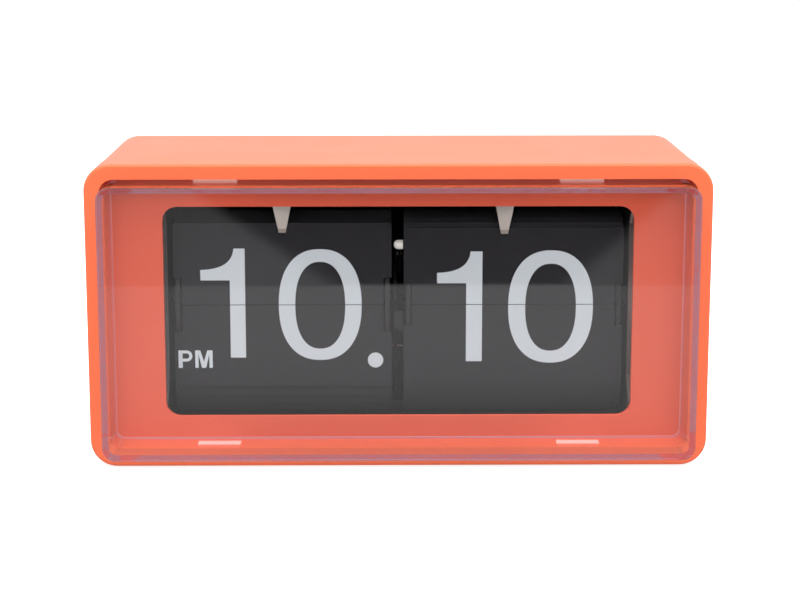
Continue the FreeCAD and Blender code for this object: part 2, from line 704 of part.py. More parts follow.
def set_wheel():
    """Knurled thumbwheel that reaches through the rear wall."""
    points = []
    for k in range(WHEEL_RIDGES):
        for offset, r in ((-0.25, WHEEL_R), (0.25, WHEEL_R), (0.5, WHEEL_R - 0.45)):
            points.append(polar(SETTER, r, (k + offset) * 360 / WHEEL_RIDGES))
    wheel = side_plate(points, WHEEL_X)
    dish = rod_x(SETTER, 10.0, (WHEEL_X[1] - 1.2, WHEEL_X[1] + 1)).cut(rod_x(SETTER, 4.0, (90, 100)))
    return wheel.cut(dish).cut(rod_x(SETTER, SET_ARBOR_R, (90, 100)))


# ---------------------------------------------------------------- quartz drive

def drive_housing():
    """Open box on the gear cover plate."""
    outer = box(UNIT["x"], UNIT["depth"], UNIT["height"])
    room = box((UNIT["x"][0] + UNIT_WALL, UNIT["x"][1] + 1), inset(UNIT["depth"], UNIT_WALL),
               inset(UNIT["height"], UNIT_WALL))
    return outer.cut(room).cut(rod_x(DRIVE, DRIVE_ARBOR_R + BEARING, (90, 95)))


def drive_lid():
    """Lid that sits inside the housing's mouth."""
    end = UNIT["x"][1]
    gap = UNIT_WALL + 0.1
    return box((end - 1.0, end), inset(UNIT["depth"], gap), inset(UNIT["height"], gap))


def circuit_board():
    x = (95.2, 96.2)
    return box(x, inset(UNIT["depth"], 2.2), (77.0, 89.3))


def motor_coil():
    """Winding on its core at the foot of the housing."""
    core = rod_y(97.6, 66.0, 0.8, (39.0, 61.0))
    winding = rod_y(97.6, 66.0, 2.0, (42.0, 58.0))
    return core.fuse(winding).removeSplitter()


def quartz_crystal():
    return rod_y(97.9, 84.0, 1.4, (44.0, 52.0))


# ---------------------------------------------------------------- leads

def lead(points, radius, bend):
    """Round wire along straight runs joined by tangent arcs."""
    path = [V(x, back(d), up(h)) for x, d, h in points]
    edges = []
    here = path[0]
    for before, corner, after in zip(path, path[1:], path[2:]):
        into = (corner - before).normalize()
        out = (after - corner).normalize()
        turn = into.getAngle(out)
        reach = bend * math.tan(turn / 2)
        first = corner - into * reach
        last = corner + out * reach
        mid_dir = (out - into).normalize()
        middle = corner + mid_dir * (bend / math.cos(turn / 2) - bend)
        edges.append(Part.makeLine(here, first))
        edges.append(Part.Arc(first, middle, last).toShape())
        here = last
    edges.append(Part.makeLine(here, path[-1]))
    wire = Part.Wire(edges)
    start = Part.Wire(Part.makeCircle(radius, path[0], path[1] - path[0]))
    tube = wire.makePipeShell([start], True, False)
    print("lead: volume against section times length",
          round(tube.Volume / (math.pi * radius ** 2 * wire.Length), 4))
    return tube


PARTS = {
    "front_bezel": front_bezel,
    "dial_panel": dial_panel,
    "lens_cover": lens_cover,
    "lens_latches": lens_latches,
    "rear_case": rear_case,
    "rubber_feet": rubber_feet,
    "case_screws": case_screws,
    "battery_door": battery_door,
    "battery_holder": battery_holder,
    "battery_cell": battery_cell,
    "contact_plate": contact_plate,
    "contact_spring": contact_spring,
    "left_side_plate": left_side_plate,
    "right_side_plate": right_side_plate,
    "gear_cover_plate": gear_cover_plate,
    "plate_pillars": plate_pillars,
    "pillar_screws": pillar_screws,
    "top_cross_bar": top_cross_bar,
    "bottom_cross_bar": lambda: cross_bar(BAR_LOW),
    "frame_screws": frame_screws,
    "movement_screws": movement_screws,
    "centre_bracket": centre_bracket,
    "lever_pin": lever_pin,
    "drum_axle": drum_axle,
    "axle_clips": axle_clips,
    "hour_tongue": lambda: tongue(TONGUES[0][0], 77.7),
    "minute_tongue": lambda: tongue(TONGUES[1][0], 77.2),
    "tongue_rivets": tongue_rivets,
    "transfer_lever": transfer_lever,
    "transfer_peg": transfer_peg,
    "hour_spool": hour_spool,
    "minute_spool": minute_spool,
    "hour_leaf_front": lambda: front_leaf(HOUR, True),
    "hour_leaf_next": lambda: waiting_leaf(HOUR, 1),
    "hour_leaf_lower": lambda: front_leaf(HOUR, False),
    "hour_leaf_pack": lambda: leaf_pack(HOUR),
    "minute_leaf_front": lambda: front_leaf(MINUTE, True),
    "minute_leaf_next": lambda: waiting_leaf(MINUTE, 1),
    "minute_leaf_lower": lambda: front_leaf(MINUTE, False),
    "minute_leaf_pack": lambda: leaf_pack(MINUTE),
    "minute_gear": minute_gear,
    "intermediate_pinion": intermediate_pinion,
    "intermediate_wheel": intermediate_wheel,
    "drive_pinion": drive_pinion,
    "set_gear": set_gear,
    "set_wheel": set_wheel,
    "drive_housing": drive_housing,
    "drive_lid": drive_lid,
    "circuit_board": circuit_board,
    "motor_coil": motor_coil,
    "quartz_crystal": quartz_crystal,
    "plus_lead": lambda: lead(PLUS_ROUTE, LEAD_R, 4.0),
    "minus_lead": lambda: lead(MINUS_ROUTE, LEAD_R, 3.0),
}

for part_name, make in PARTS.items():
    save(part_name, make())
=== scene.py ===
"""Looks of a table flip clock: moulded shells, clear cover, number leaves and the movement behind them.

Lengths in the code are millimetres; MM turns them into Blender's metres. Heights are given above the
underside of the case and depths behind the face of the bezel, and spot() turns them into the frame.
"""
import json
import math

import bmesh
import bpy
from bpy.props import FloatProperty, FloatVectorProperty, IntProperty, PointerProperty
from mathutils import Matrix, Vector
from mathutils.geometry import interpolate_bezier, tessellate_polygon

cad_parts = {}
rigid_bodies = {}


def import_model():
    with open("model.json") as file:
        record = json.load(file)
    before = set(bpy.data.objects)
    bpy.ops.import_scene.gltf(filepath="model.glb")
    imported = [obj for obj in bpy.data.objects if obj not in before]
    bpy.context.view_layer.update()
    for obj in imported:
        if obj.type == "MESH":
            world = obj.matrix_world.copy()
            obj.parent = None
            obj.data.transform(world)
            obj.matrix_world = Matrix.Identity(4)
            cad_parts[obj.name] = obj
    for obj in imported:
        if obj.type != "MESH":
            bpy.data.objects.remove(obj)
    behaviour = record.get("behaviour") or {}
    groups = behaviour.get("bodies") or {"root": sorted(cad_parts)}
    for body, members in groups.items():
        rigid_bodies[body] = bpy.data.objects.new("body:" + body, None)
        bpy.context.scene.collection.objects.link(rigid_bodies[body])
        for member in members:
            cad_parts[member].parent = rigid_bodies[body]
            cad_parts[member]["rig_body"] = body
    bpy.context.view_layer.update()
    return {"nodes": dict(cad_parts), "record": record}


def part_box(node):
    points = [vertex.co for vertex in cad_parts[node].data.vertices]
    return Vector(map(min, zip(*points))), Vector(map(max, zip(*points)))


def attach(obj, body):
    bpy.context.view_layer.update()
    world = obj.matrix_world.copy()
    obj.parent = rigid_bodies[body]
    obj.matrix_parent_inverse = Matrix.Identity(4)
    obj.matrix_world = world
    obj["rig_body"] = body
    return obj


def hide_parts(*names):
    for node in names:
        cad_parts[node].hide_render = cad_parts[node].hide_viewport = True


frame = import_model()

bl_info = {
    "name": "Flip clock finishes", "version": (1, 0, 0), "blender": (4, 5, 0),
    "location": "View3D > Sidebar > Flip clock",
    "description": "Moulded shells, clear cover, number leaves and movement of a table flip clock",
    "category": "Object",}

MM = 0.001
FACE_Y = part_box("front_bezel")[0].y
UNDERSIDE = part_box("front_bezel")[0].z

# Shells: what the painted shade inside the case and the cover's frosted end, with its painted glow, keep to.
WALL = 2.2
REAR_WALL = 1.9
FRONT_STEP = 1.0
INSIDE_CORNER = 6.6
FROSTED_DEPTH = 10.5

# Drums: the same places and fan that the leaves have in the frame. The figures are printed where each
# stem has its left and right edge, and each nought its middle and half sizes.
SPLIT_HEIGHT = 52.2
AXLE_DEPTH = 33.85
FAN_RADIUS = 13.55
LEAF_LENGTH = 27.5
LEAF_FOOT = 0.3
LEAF_CORNER = 1.2
NOTCH_WIDTH = 2.75
HOUR = {
    "name": "hour", "left": -77.75, "right": -2.35, "count": 24, "phase": 7.5, "lag": 7.5, "thick": 0.25,
    "notch": 8.6, "tens": (-58.32, -53.03), "ones": (-25.4, -20.1), "figure_ends": (33.47, 72.09),
    "nought": (-27.09, 52.19), "outer": (14.35, 19.63), "inner": (8.65, 15.37)}
MINUTE = {
    "name": "minute", "left": 1.87, "right": 77.85, "count": 60, "phase": -0.75, "lag": 4.5, "thick": 0.15,
    "notch": 7.6, "tens": (23.48, 29.04), "ones": (54.4, 59.96), "figure_ends": (31.98, 70.92),
    "nought": (52.8, 51.33), "outer": (14.72, 19.92), "inner": (8.80, 15.43)}
INNER_DROP = 0.2
HOUR_DOT = (-7.97, 32.5, 2.7)
PM_FOOT = 29.83
PM_HEIGHT = 6.24
P_LEFT, P_WIDTH = -76.57, 4.85
M_LEFT, M_WIDTH = -70.75, 6.07
PRINT_SUNK = 0.01

# Lamps: place, target and size in metres.
KEY_LAMP = ((0.0, -0.42, 1.05), (0.0, 0.0, 0.05), (1.1, 0.7))
FILL_LAMP = ((0.0, -1.5, 0.90), (0.0, 0.0, 0.05), (2.0, 0.9))


def spot(x, depth, height):
    """Point of the frame, in metres, from x, depth behind the bezel's face and height."""
    return Vector((x * MM, FACE_Y + depth * MM, UNDERSIDE + height * MM))


# ---- settings

def colour(label, about, default):
    return FloatVectorProperty(
        name=label, description=about, subtype="COLOR", size=3, min=0.0, max=1.0, default=default)


def amount(label, about, default, unit="NONE", subtype="NONE"):
    return FloatProperty(name=label, description=about, default=default, unit=unit, subtype=subtype)


def count_of(label, about, default, least, most):
    return IntProperty(name=label, description=about, default=default, min=least, max=most)


class ClockColours(bpy.types.PropertyGroup):
    """Colours that an owner of the clock would change"""

    shell: colour("Shell", "Moulded plastic of the case, bezel and battery door", (0.86, 0.150, 0.058))
    panel: colour("Panel", "Dial panel behind the clear cover", (0.86, 0.128, 0.066))
    leaf: colour("Leaf", "Body colour of the number leaves", (0.0035, 0.0037, 0.0045))
    ink: colour("Ink", "Printed numerals", (0.735, 0.81, 0.855))
    moulding: colour("Moulding", "Black plastic of the movement", (0.016, 0.016, 0.018))
    floor: colour("Floor", "Plain surface that the clock stands on", (0.90, 0.90, 0.90))


class ClockSizes(bpy.types.PropertyGroup):
    """Sizes of the printed and repeated details"""

    ink_height: amount("Ink height", "How far the print stands off a leaf", 0.02 * MM, "LENGTH", "DISTANCE")
    split_gap: amount(
        "Split gap", "Bare strip of each half numeral at the split", 0.12 * MM, "LENGTH", "DISTANCE")
    wheel_ridges: count_of("Wheel ridges", "Grip ridges round the time-set wheel", 48, 12, 96)
    coil_turns: count_of("Coil turns", "Visible turns of the motor winding", 34, 8, 60)


class ClockStudio(bpy.types.PropertyGroup):
    """Camera and light of the stage"""

    lens: amount("Lens", "Focal length of the camera", 84.1, "CAMERA")
    stand: FloatVectorProperty(
        name="Stand", description="Where the camera stands", subtype="TRANSLATION", unit="LENGTH", size=3,
        default=(-0.00564, -0.6497, 0.1907))
    tilt: amount("Tilt", "How far the camera looks down", math.radians(10.20), "ROTATION", "ANGLE")
    turn: amount("Turn", "How far the camera looks to the right", math.radians(0.56), "ROTATION", "ANGLE")
    rise: amount("Rise", "Vertical lens shift", -0.08)
    key: amount("Key light", "Power of the large light above the dial", 19.0, "POWER")
    fill: amount("Fill light", "Power of the light behind the camera", 15.5, "POWER")
    table_edge: amount(
        "Table edge", "Where the bright table ends before the dial", -0.370, "LENGTH", "DISTANCE")


# ---- node trees

def maths(operation, swapped=False):
    """A method of Value that adds one Math node."""
    def method(self, *others):
        terms = (*others, self) if swapped else (self, *others)
        return self.tree.node("ShaderNodeMath", {"operation": operation}, dict(enumerate(terms)))
    return method


class Value:
    """One socket that answers to Python's arithmetic by adding Math nodes."""

    def __init__(self, tree, socket):
        self.tree = tree
        self.socket = socket

    __add__ = __radd__ = maths("ADD")
    __sub__, __rsub__ = maths("SUBTRACT"), maths("SUBTRACT", True)
    __mul__ = __rmul__ = maths("MULTIPLY")
    __truediv__, __mod__ = maths("DIVIDE"), maths("MODULO")
    __gt__, __lt__ = maths("GREATER_THAN"), maths("LESS_THAN")
    __abs__, sine, cosine = maths("ABSOLUTE"), maths("SINE"), maths("COSINE")
    at_least, at_most = maths("MAXIMUM"), maths("MINIMUM")


class Tree:
    """A node tree that is built one node at a time."""

    def __init__(self, tree):
        self.tree = tree

    def node(self, kind, settings=(), sockets=(), output=0):
        """Add a node: its settings first, then the values or links of its sockets, a list for several."""
        made = self.tree.nodes.new(kind)
        for name, value in dict(settings).items():
            setattr(made, name, value)
        for name, value in dict(sockets).items():
            if isinstance(value, (Value, list)):
                for source in value if isinstance(value, list) else [value]:
                    self.tree.links.new(source.socket, made.inputs[name])
            else:
                made.inputs[name].default_value = value
        return Value(self, made.outputs[output]) if made.outputs else None

    def eased(self, value, start, stop, low=0.0, high=1.0):
        """Go smoothly from low to high as the value goes from start to stop."""
        return self.node("ShaderNodeMapRange", {"interpolation_type": "SMOOTHSTEP"}, {
            "Value": value, "From Min": start, "From Max": stop, "To Min": low, "To Max": high})

    def path(self, ray):
        """1 for rays of one kind, such as Glossy, and 0 for the others."""
        return self.node("ShaderNodeLightPath", output=f"Is {ray} Ray")


class Finish(Tree):
    """The node tree of one material."""

    def __init__(self, name):
        self.material = bpy.data.materials.new(name)
        self.material.use_nodes = True
        super().__init__(self.material.node_tree)
        self.tree.nodes.clear()
        self.place = self.node("ShaderNodeTexCoord", output="Object")

    def axis(self, letter):
        return self.node("ShaderNodeSeparateXYZ", {}, {0: self.place}, output=letter)

    def noise(self, scale, detail=2.0, place=None):
        """Noise whose blotches are about this many to the metre."""
        return self.node("ShaderNodeTexNoise", {}, {
            "Vector": place or self.place, "Scale": scale, "Detail": detail})

    def within(self, low, high, corner):
        """1 inside a box whose edges along y are rounded, 0 outside it."""
        middle, half = (low + high) / 2, (high - low) / 2
        far = 0.0
        for letter, centre, reach in (("X", middle.x, half.x), ("Z", middle.z, half.z)):
            across = self.axis(letter) - centre
            past = (abs(across) - (reach - corner)).at_least(0.0)
            far = past * past + far
        y = self.axis("Y")
        return (far < corner * corner) * (y > low.y) * (y < high.y)

    def stretched(self, x, y, z):
        return self.node("ShaderNodeVectorMath", {"operation": "MULTIPLY"}, {0: self.place, 1: (x, y, z)})

    @staticmethod
    def spread(value, low, high):
        """Take 0..1 to low..high."""
        return value * (high - low) + low

    def mixed(self, factor, first, second):
        return self.node("ShaderNodeMix", {"data_type": "RGBA"}, {0: factor, 6: first, 7: second}, output=2)

    def bump(self, height, distance, strength=1.0, under=None):
        sockets = {"Height": height, "Distance": distance * MM, "Strength": strength}
        if under is not None:
            sockets["Normal"] = under
        return self.node("ShaderNodeBump", {}, sockets)

    def surface(self, shader):
        """The finished material, with this shader on its surface."""
        self.node("ShaderNodeOutputMaterial", {}, {"Surface": shader})
        return self.material

    def principled(self, **sockets):
        named = {key.replace("_", " "): value for key, value in sockets.items()}
        return self.node("ShaderNodeBsdfPrincipled", {}, named)

    def skinned(self, **sockets):
        """The finished material, of one principled shader."""
        return self.surface(self.principled(**sockets))


def rgba(colour, factor=1.0):
    return tuple(min(c * factor, 1.0) for c in colour[:3]) + (1.0,)


# ---- finishes

def moulded(name, key, grain=0.006, gloss=0.33, painted_shade_room=None):
    """Injection-moulded plastic: faint flow marks, a fine spark texture and an even satin gloss.

    Its colour is one of the clock's own; inside the given room it turns a dull black, painted shade for the
    dark inside of the case.
    """
    t = Finish(name)
    base = getattr(bpy.context.scene.clock_colours, key)
    flow = t.noise(28, 3)
    spark = t.noise(1900, 2)
    waves = t.noise(160, 2)
    body = t.mixed(flow, rgba(base, 0.965), rgba(base, 1.035))
    rough = t.spread(flow, gloss - 0.04, gloss + 0.05) + spark * 0.05
    # Painted shade: inside the case's room the colour goes to a dull black, standing in for the dark that
    # little light reaches.
    if painted_shade_room:
        coat_and_painted_shade = t.within(*painted_shade_room())
        body = t.mixed(coat_and_painted_shade, body, (0.012, 0.012, 0.012, 1.0))
        rough = rough + coat_and_painted_shade * 0.4
    skin = t.bump(spark, grain, 0.6, t.bump(waves, 0.010, 0.35))
    return t.skinned(Base_Color=body, Roughness=rough, IOR=1.50, Normal=skin)


def inside_of_case():
    """Two corners and a radius of the room that the rear case's walls enclose."""
    low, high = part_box("rear_case")
    front_inset = Vector((WALL, -FRONT_STEP, WALL)) * MM
    rear_inset = Vector((WALL, REAR_WALL, WALL)) * MM
    return low + front_inset, high - rear_inset, INSIDE_CORNER * MM


def clear_acrylic(name):
    """Clear moulded acrylic. Light goes straight through it to what stands behind.

    Its ground rear edge, held in the bezel, is frosted; its pink tint and an emission paint on it the light
    that the walls pipe to it.
    """
    t = Finish(name)
    waves = t.noise(14, 1)
    haze = t.noise(90, 3)
    glass = t.principled(
        Base_Color=(0.985, 0.985, 0.99, 1.0), Roughness=t.spread(haze, 0.0, 0.03), IOR=1.49,
        Transmission_Weight=1.0, Normal=t.bump(waves, 0.02, 0.3))
    # Painted glow: the frosted end's pink tint and emission stand in for the light piped along the cover's
    # walls.
    glow = t.mixed(haze, (0.26, 0.17, 0.21, 1.0), (0.31, 0.20, 0.25, 1.0))
    frosted_and_painted_glow = t.principled(
        Base_Color=(0.30, 0.15, 0.17, 1.0), Roughness=t.spread(haze, 0.5, 0.7), Emission_Color=glow,
        Emission_Strength=1.0)
    rear_end = t.axis("Y") > FACE_Y + FROSTED_DEPTH * MM
    body = t.node("ShaderNodeMixShader", {}, {0: rear_end, 1: glass, 2: frosted_and_painted_glow})
    through = t.node("ShaderNodeBsdfTransparent", {}, {"Color": (0.965, 0.965, 0.97, 1.0)})
    return t.surface(t.node("ShaderNodeMixShader", {}, {0: t.path("Shadow"), 1: body, 2: through}))


def milky_tab(name):
    """Thin moulded latch: the same acrylic, rubbed white on its faces, with a painted glow that keeps it
    light in the shade round the cover.
    """
    t = Finish(name)
    scuffs = t.noise(700, 3, t.stretched(1, 1, 6))
    body = t.mixed(scuffs, (0.90, 0.55, 0.50, 1.0), (0.95, 0.72, 0.67, 1.0))
    return t.skinned(
        # Painted glow: the emission keeps the latch light where it sits in shade.
        Base_Color=body, Roughness=t.spread(scuffs, 0.25, 0.45), IOR=1.49,
        Alpha=t.spread(scuffs, 0.40, 0.55), Emission_Color=body, Emission_Strength=0.35)


def black_leaf(name):
    """Thin matt film: calendering streaks along the leaf and a fine tooth."""
    t = Finish(name)
    base = bpy.context.scene.clock_colours.leaf
    streaks = t.noise(260, 3, t.stretched(0.25, 1, 1))
    tooth = t.noise(3200, 2)
    body = t.mixed(streaks, rgba(base, 0.86), rgba(base, 1.16))
    skin = t.bump(tooth, 0.004, 0.7, t.bump(streaks, 0.010, 0.4))
    return t.skinned(Base_Color=body, Roughness=t.spread(streaks, 0.24, 0.32), IOR=1.60, Normal=skin)


def white_ink(name):
    """Screen-printed numerals: an even coat with the mesh just showing."""
    t = Finish(name)
    base = bpy.context.scene.clock_colours.ink
    coat_and_painted_shade = t.noise(900, 3)
    mesh_marks = t.node("ShaderNodeTexChecker", {}, {"Vector": t.place, "Scale": 3600.0}, output=1)
    body = t.mixed(coat_and_painted_shade, rgba(base, 0.97), rgba(base, 1.02))
    skin = t.bump(coat_and_painted_shade + mesh_marks * 0.4, 0.003, 0.5)
    return t.skinned(Base_Color=body, Roughness=t.spread(coat_and_painted_shade, 0.52, 0.64), Normal=skin)


def brushed(name, light, dark, along, rough):
    """Metal with fine lines drawn along one axis."""
    t = Finish(name)
    lines = t.noise(2600, 3, t.stretched(*along))
    tarnish = t.noise(120, 3)
    body = t.mixed(tarnish * 0.6 + lines * 0.4, rgba(dark), rgba(light))
    skin = t.bump(lines, 0.004, 0.5)
    return t.skinned(
        Base_Color=body, Metallic=1.0, Normal=skin, Roughness=t.spread(lines, rough - 0.06, rough + 0.10))


def nylon(name):
    """White nylon gear stock: slightly waxy, with pale moulding swirls and a faint painted glow that keeps it
    bright in the shade of the gap.
    """
    t = Finish(name)
    swirl = t.noise(240, 4)
    body = t.mixed(swirl, (0.80, 0.76, 0.70, 1.0), (0.88, 0.85, 0.81, 1.0))
    # Painted glow: the emission brightens the peg and gears where they sit in shade.
    return t.skinned(
        Base_Color=body, Roughness=t.spread(swirl, 0.36, 0.50), Subsurface_Weight=0.1,
        Subsurface_Scale=0.5 * MM, Normal=t.bump(swirl, 0.01, 0.3), Emission_Color=body,
        Emission_Strength=0.28)


def soft_rubber(name):
    """Grey-black rubber with a bloom of dust in its tooth."""
    t = Finish(name)
    tooth = t.noise(1500, 4)
    body = t.mixed(tooth, (0.018, 0.018, 0.018, 1.0), (0.045, 0.043, 0.042, 1.0))
    return t.skinned(Base_Color=body, Roughness=t.spread(tooth, 0.70, 0.88), Normal=t.bump(tooth, 0.03, 0.6))


def green_board(name):
    """Lacquered circuit board with copper tracks showing through as a grid."""
    t = Finish(name)
    across = (t.axis("Z") * (1 / (1.9 * MM)) % 1.0) < 0.35
    along = (t.axis("Y") * (1 / (2.6 * MM)) % 1.0) < 0.25
    tracks = across.at_least(along)
    weave = t.noise(2400, 2)
    body = t.mixed(tracks, (0.010, 0.085, 0.030, 1.0), (0.030, 0.190, 0.070, 1.0))
    return t.skinned(
        Base_Color=body, Roughness=t.spread(weave, 0.24, 0.36),
        Normal=t.bump(tracks + weave * 0.2, 0.02, 0.5))


def copper_wire(name):
    """Enamelled copper, a little darker in places."""
    t = Finish(name)
    heat = t.noise(420, 3)
    body = t.mixed(heat, (0.50, 0.17, 0.07, 1.0), (0.72, 0.28, 0.12, 1.0))
    return t.skinned(Base_Color=body, Metallic=1.0, Roughness=t.spread(heat, 0.22, 0.38))


def sleeve(name, base):
    """Soft vinyl wire sleeve with faint rings from its extrusion."""
    t = Finish(name)
    rings = t.noise(1300, 2)
    body = t.mixed(rings, rgba(base, 0.85), rgba(base, 1.1))
    return t.skinned(Base_Color=body, Roughness=t.spread(rings, 0.38, 0.52), Normal=t.bump(rings, 0.02, 0.4))


def cell_wrap(name):
    """Plain wrapped cell: a grey sleeve with one pale band and bare steel ends."""
    t = Finish(name)
    low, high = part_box("battery_cell")
    x = t.axis("X")
    span = high.x - low.x
    bare = (x > high.x - span * 0.05) + (x < low.x + span * 0.03)
    band = (x > low.x + span * 0.62) * (x < low.x + span * 0.72)
    print_marks = t.noise(600, 2)
    wrap = t.mixed(band, (0.060, 0.085, 0.120, 1.0), (0.62, 0.63, 0.62, 1.0))
    body = t.mixed(bare, wrap, (0.66, 0.65, 0.63, 1.0))
    return t.skinned(Base_Color=body, Metallic=bare, Roughness=t.spread(print_marks, 0.26, 0.36))


# Each finish's maker and what it is told: for a moulding the colour, grain and gloss; for a metal the
# light and the dark colour, how far its lines are squeezed along each axis, and the roughness.
FINISHES = {
    # The shell's inner faces get painted shade: a dull black inside the room that inside_of_case gives.
    "orange_plastic": (moulded, "shell"), "lined_plastic": (moulded, "shell", 0.006, 0.33, inside_of_case),
    "coral_panel": (moulded, "panel", 0.010, 0.36), "black_moulding": (moulded, "moulding", 0.008, 0.46),
    "sprung_steel": (brushed, (0.90, 0.82, 0.74), (0.70, 0.63, 0.58), (1, 1, 0.05), 0.38),
    "sheet_steel": (brushed, (0.62, 0.61, 0.60), (0.47, 0.46, 0.45), (1, 0.05, 1), 0.32),
    "blued_steel": (brushed, (0.020, 0.021, 0.024), (0.012, 0.012, 0.014), (0.05, 1, 1), 0.55),
    "zinc_plate": (brushed, (0.70, 0.69, 0.66), (0.55, 0.54, 0.50), (0.3, 0.3, 0.3), 0.26),
    "yellow_brass": (brushed, (0.78, 0.57, 0.24), (0.62, 0.42, 0.16), (0.05, 1, 1), 0.28),
    "red_sleeve": (sleeve, (0.55, 0.020, 0.015)), "black_sleeve": (sleeve, (0.020, 0.020, 0.022)),}
FINISHES |= {make.__name__: (make,) for make in (
    clear_acrylic, milky_tab, black_leaf, white_ink, nylon, soft_rubber, green_board, copper_wire, cell_wrap)}


def finish(name):
    """The material of this name, made the first time it is asked for."""
    make, *details = FINISHES[name]
    return bpy.data.materials.get(name) or make(name, *details)


# ---- shapes

def plain_mesh(name, work):
    """Mesh with outward faces from a bmesh."""
    bmesh.ops.recalc_face_normals(work, faces=work.faces)
    mesh = bpy.data.meshes.new(name)
    work.to_mesh(mesh)
    work.free()
    return mesh


def placed(name, data, finish_name=None):
    """Object in the scene, with its finish where one is named."""
    piece = bpy.data.objects.new(name, data)
    bpy.context.scene.collection.objects.link(piece)
    if finish_name:
        data.materials.append(finish(finish_name))
    return piece


def smoothed(mesh, degrees=32):
    mesh.shade_smooth()
    mesh.set_sharp_from_angle(angle=math.radians(degrees))
    return mesh


def evaluated_mesh(holder):
    """Plain mesh of an object with its modifiers; the object itself is removed."""
    bpy.context.view_layer.update()
    graph = bpy.context.evaluated_depsgraph_get()
    mesh = bpy.data.meshes.new_from_object(
        holder.evaluated_get(graph), preserve_all_data_layers=True, depsgraph=graph)
    bpy.data.objects.remove(holder)
    return mesh


def settle(piece, body, slot, *nodes):
    """Let a piece ride on its body and stand for its CAD nodes. The slot argument is not used."""
    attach(piece, body)
    if nodes:
        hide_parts(*nodes)
    return piece


def body_of(node):
    return frame["nodes"][node]["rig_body"]


def slot_of(node):
    """The record's slot of a CAD node."""
    parts = frame["record"]["subparts"]
    return next(part["material_slot"] for part in parts if part["node"] == node)


def dressed(node, finish_name):
    """Give a CAD node its finish."""
    for held in frame["nodes"][node].material_slots:
        held.material = finish(finish_name)


def rounded(node, finish_name, degrees=32):
    """Smooth-shaded copy of a CAD node, with its flats kept flat."""
    work = bmesh.new()
    work.from_mesh(frame["nodes"][node].data)
    bmesh.ops.remove_doubles(work, verts=work.verts, dist=0.002 * MM)
    bmesh.ops.dissolve_degenerate(work, dist=0.001 * MM, edges=work.edges)
    work.verts.index_update()
    mesh = bpy.data.meshes.new(node)
    mesh.from_pydata([v.co for v in work.verts], [], [[v.index for v in f.verts] for f in work.faces])
    work.free()
    holder = placed(node + "_copy", smoothed(mesh, degrees))
    flats = holder.modifiers.new("flats", "WEIGHTED_NORMAL")
    flats.keep_sharp = True
    flats.weight = 100
    piece = placed(node + "_smooth", evaluated_mesh(holder), finish_name)
    return settle(piece, body_of(node), slot_of(node), node)


def lathe(profile, turns=48):
    """Closed surface turned about the z axis from (radius, height) pairs in millimetres."""
    work = bmesh.new()
    rings = []
    for radius, height in profile:
        angles = [0.0] if radius == 0 else [2 * math.pi * k / turns for k in range(turns)]
        rings.append([work.verts.new((radius * MM * math.cos(a), radius * MM * math.sin(a), height * MM))
                      for a in angles])
    for low, high in zip(rings, rings[1:]):
        for k in range(turns):
            around = (
                low[k % len(low)], low[(k + 1) % len(low)], high[(k + 1) % len(high)], high[k % len(high)])
            work.faces.new(tuple(dict.fromkeys(around)))
    return work


def slab(outlines, thickness, work=None):
    """Flat plate from closed (x, z) outlines in metres; its front is at y = 0 and it grows backwards."""
    work = work or bmesh.new()
    loops = [[Vector((x, z, 0.0)) for x, z in outline] for outline in outlines]
    points = [p for loop in loops for p in loop]
    front = [work.verts.new((p.x, 0.0, p.y)) for p in points]
    rear = [work.verts.new((p.x, thickness, p.y)) for p in points]
    for a, b, c in tessellate_polygon(loops):
        work.faces.new((front[a], front[b], front[c]))
        work.faces.new((rear[c], rear[b], rear[a]))
    start = 0
    for loop in loops:
        for k in range(len(loop)):
            a, b = start + k, start + (k + 1) % len(loop)
            work.faces.new((front[a], rear[a], rear[b], front[b]))
        start += len(loop)
    return work


# ---- repeated details

class Maker(Tree):
    """A geometry tree with named inputs that ends in Realize Instances and Set Material."""

    def __init__(self, name, sizes):
        group = bpy.data.node_groups.new(name, "GeometryNodeTree")
        super().__init__(group)
        face = group.interface
        face.new_socket("Geometry", in_out="INPUT", socket_type="NodeSocketGeometry")
        self.identifiers = {}
        for label, value in sizes.items():
            kind = "NodeSocketInt" if isinstance(value, int) else "NodeSocketFloat"
            made = face.new_socket(label, in_out="INPUT", socket_type=kind)
            made.default_value = value
            self.identifiers[label] = made.identifier
        face.new_socket("Geometry", in_out="OUTPUT", socket_type="NodeSocketGeometry")
        self.inlet = group.nodes.new("NodeGroupInput")
        self.sizes = sizes

    def __getitem__(self, label):
        """The input of this name."""
        return Value(self, self.inlet.outputs[label])

    def index(self):
        return self.node("GeometryNodeInputIndex")

    def vector(self, x=0.0, y=0.0, z=0.0):
        return self.node("ShaderNodeCombineXYZ", {}, {0: x, 1: y, 2: z})

    def scatter(self, count, position, rotation):
        """One copy of the incoming shape at each numbered point."""
        points = self.node("GeometryNodePoints", {}, {"Count": count, "Position": position})
        return self.node("GeometryNodeInstanceOnPoints", {}, {
            "Points": points, "Instance": self["Geometry"], "Rotation": rotation})

    def close(self, geometry, finish_name):
        real = self.node("GeometryNodeRealizeInstances", {}, {"Geometry": geometry})
        done = self.node("GeometryNodeSetMaterial", {}, {"Geometry": real, "Material": finish(finish_name)})
        self.node("NodeGroupOutput", {}, {0: done})

    def grow(self, name, seed_mesh):
        """Run the tree on a seed mesh and keep the result as a plain object."""
        holder = placed(name + "_seed", seed_mesh)
        step = holder.modifiers.new("maker", "NODES")
        step.node_group = self.tree
        for label, value in self.sizes.items():
            step[self.identifiers[label]] = value
        return placed(name, evaluated_mesh(holder))


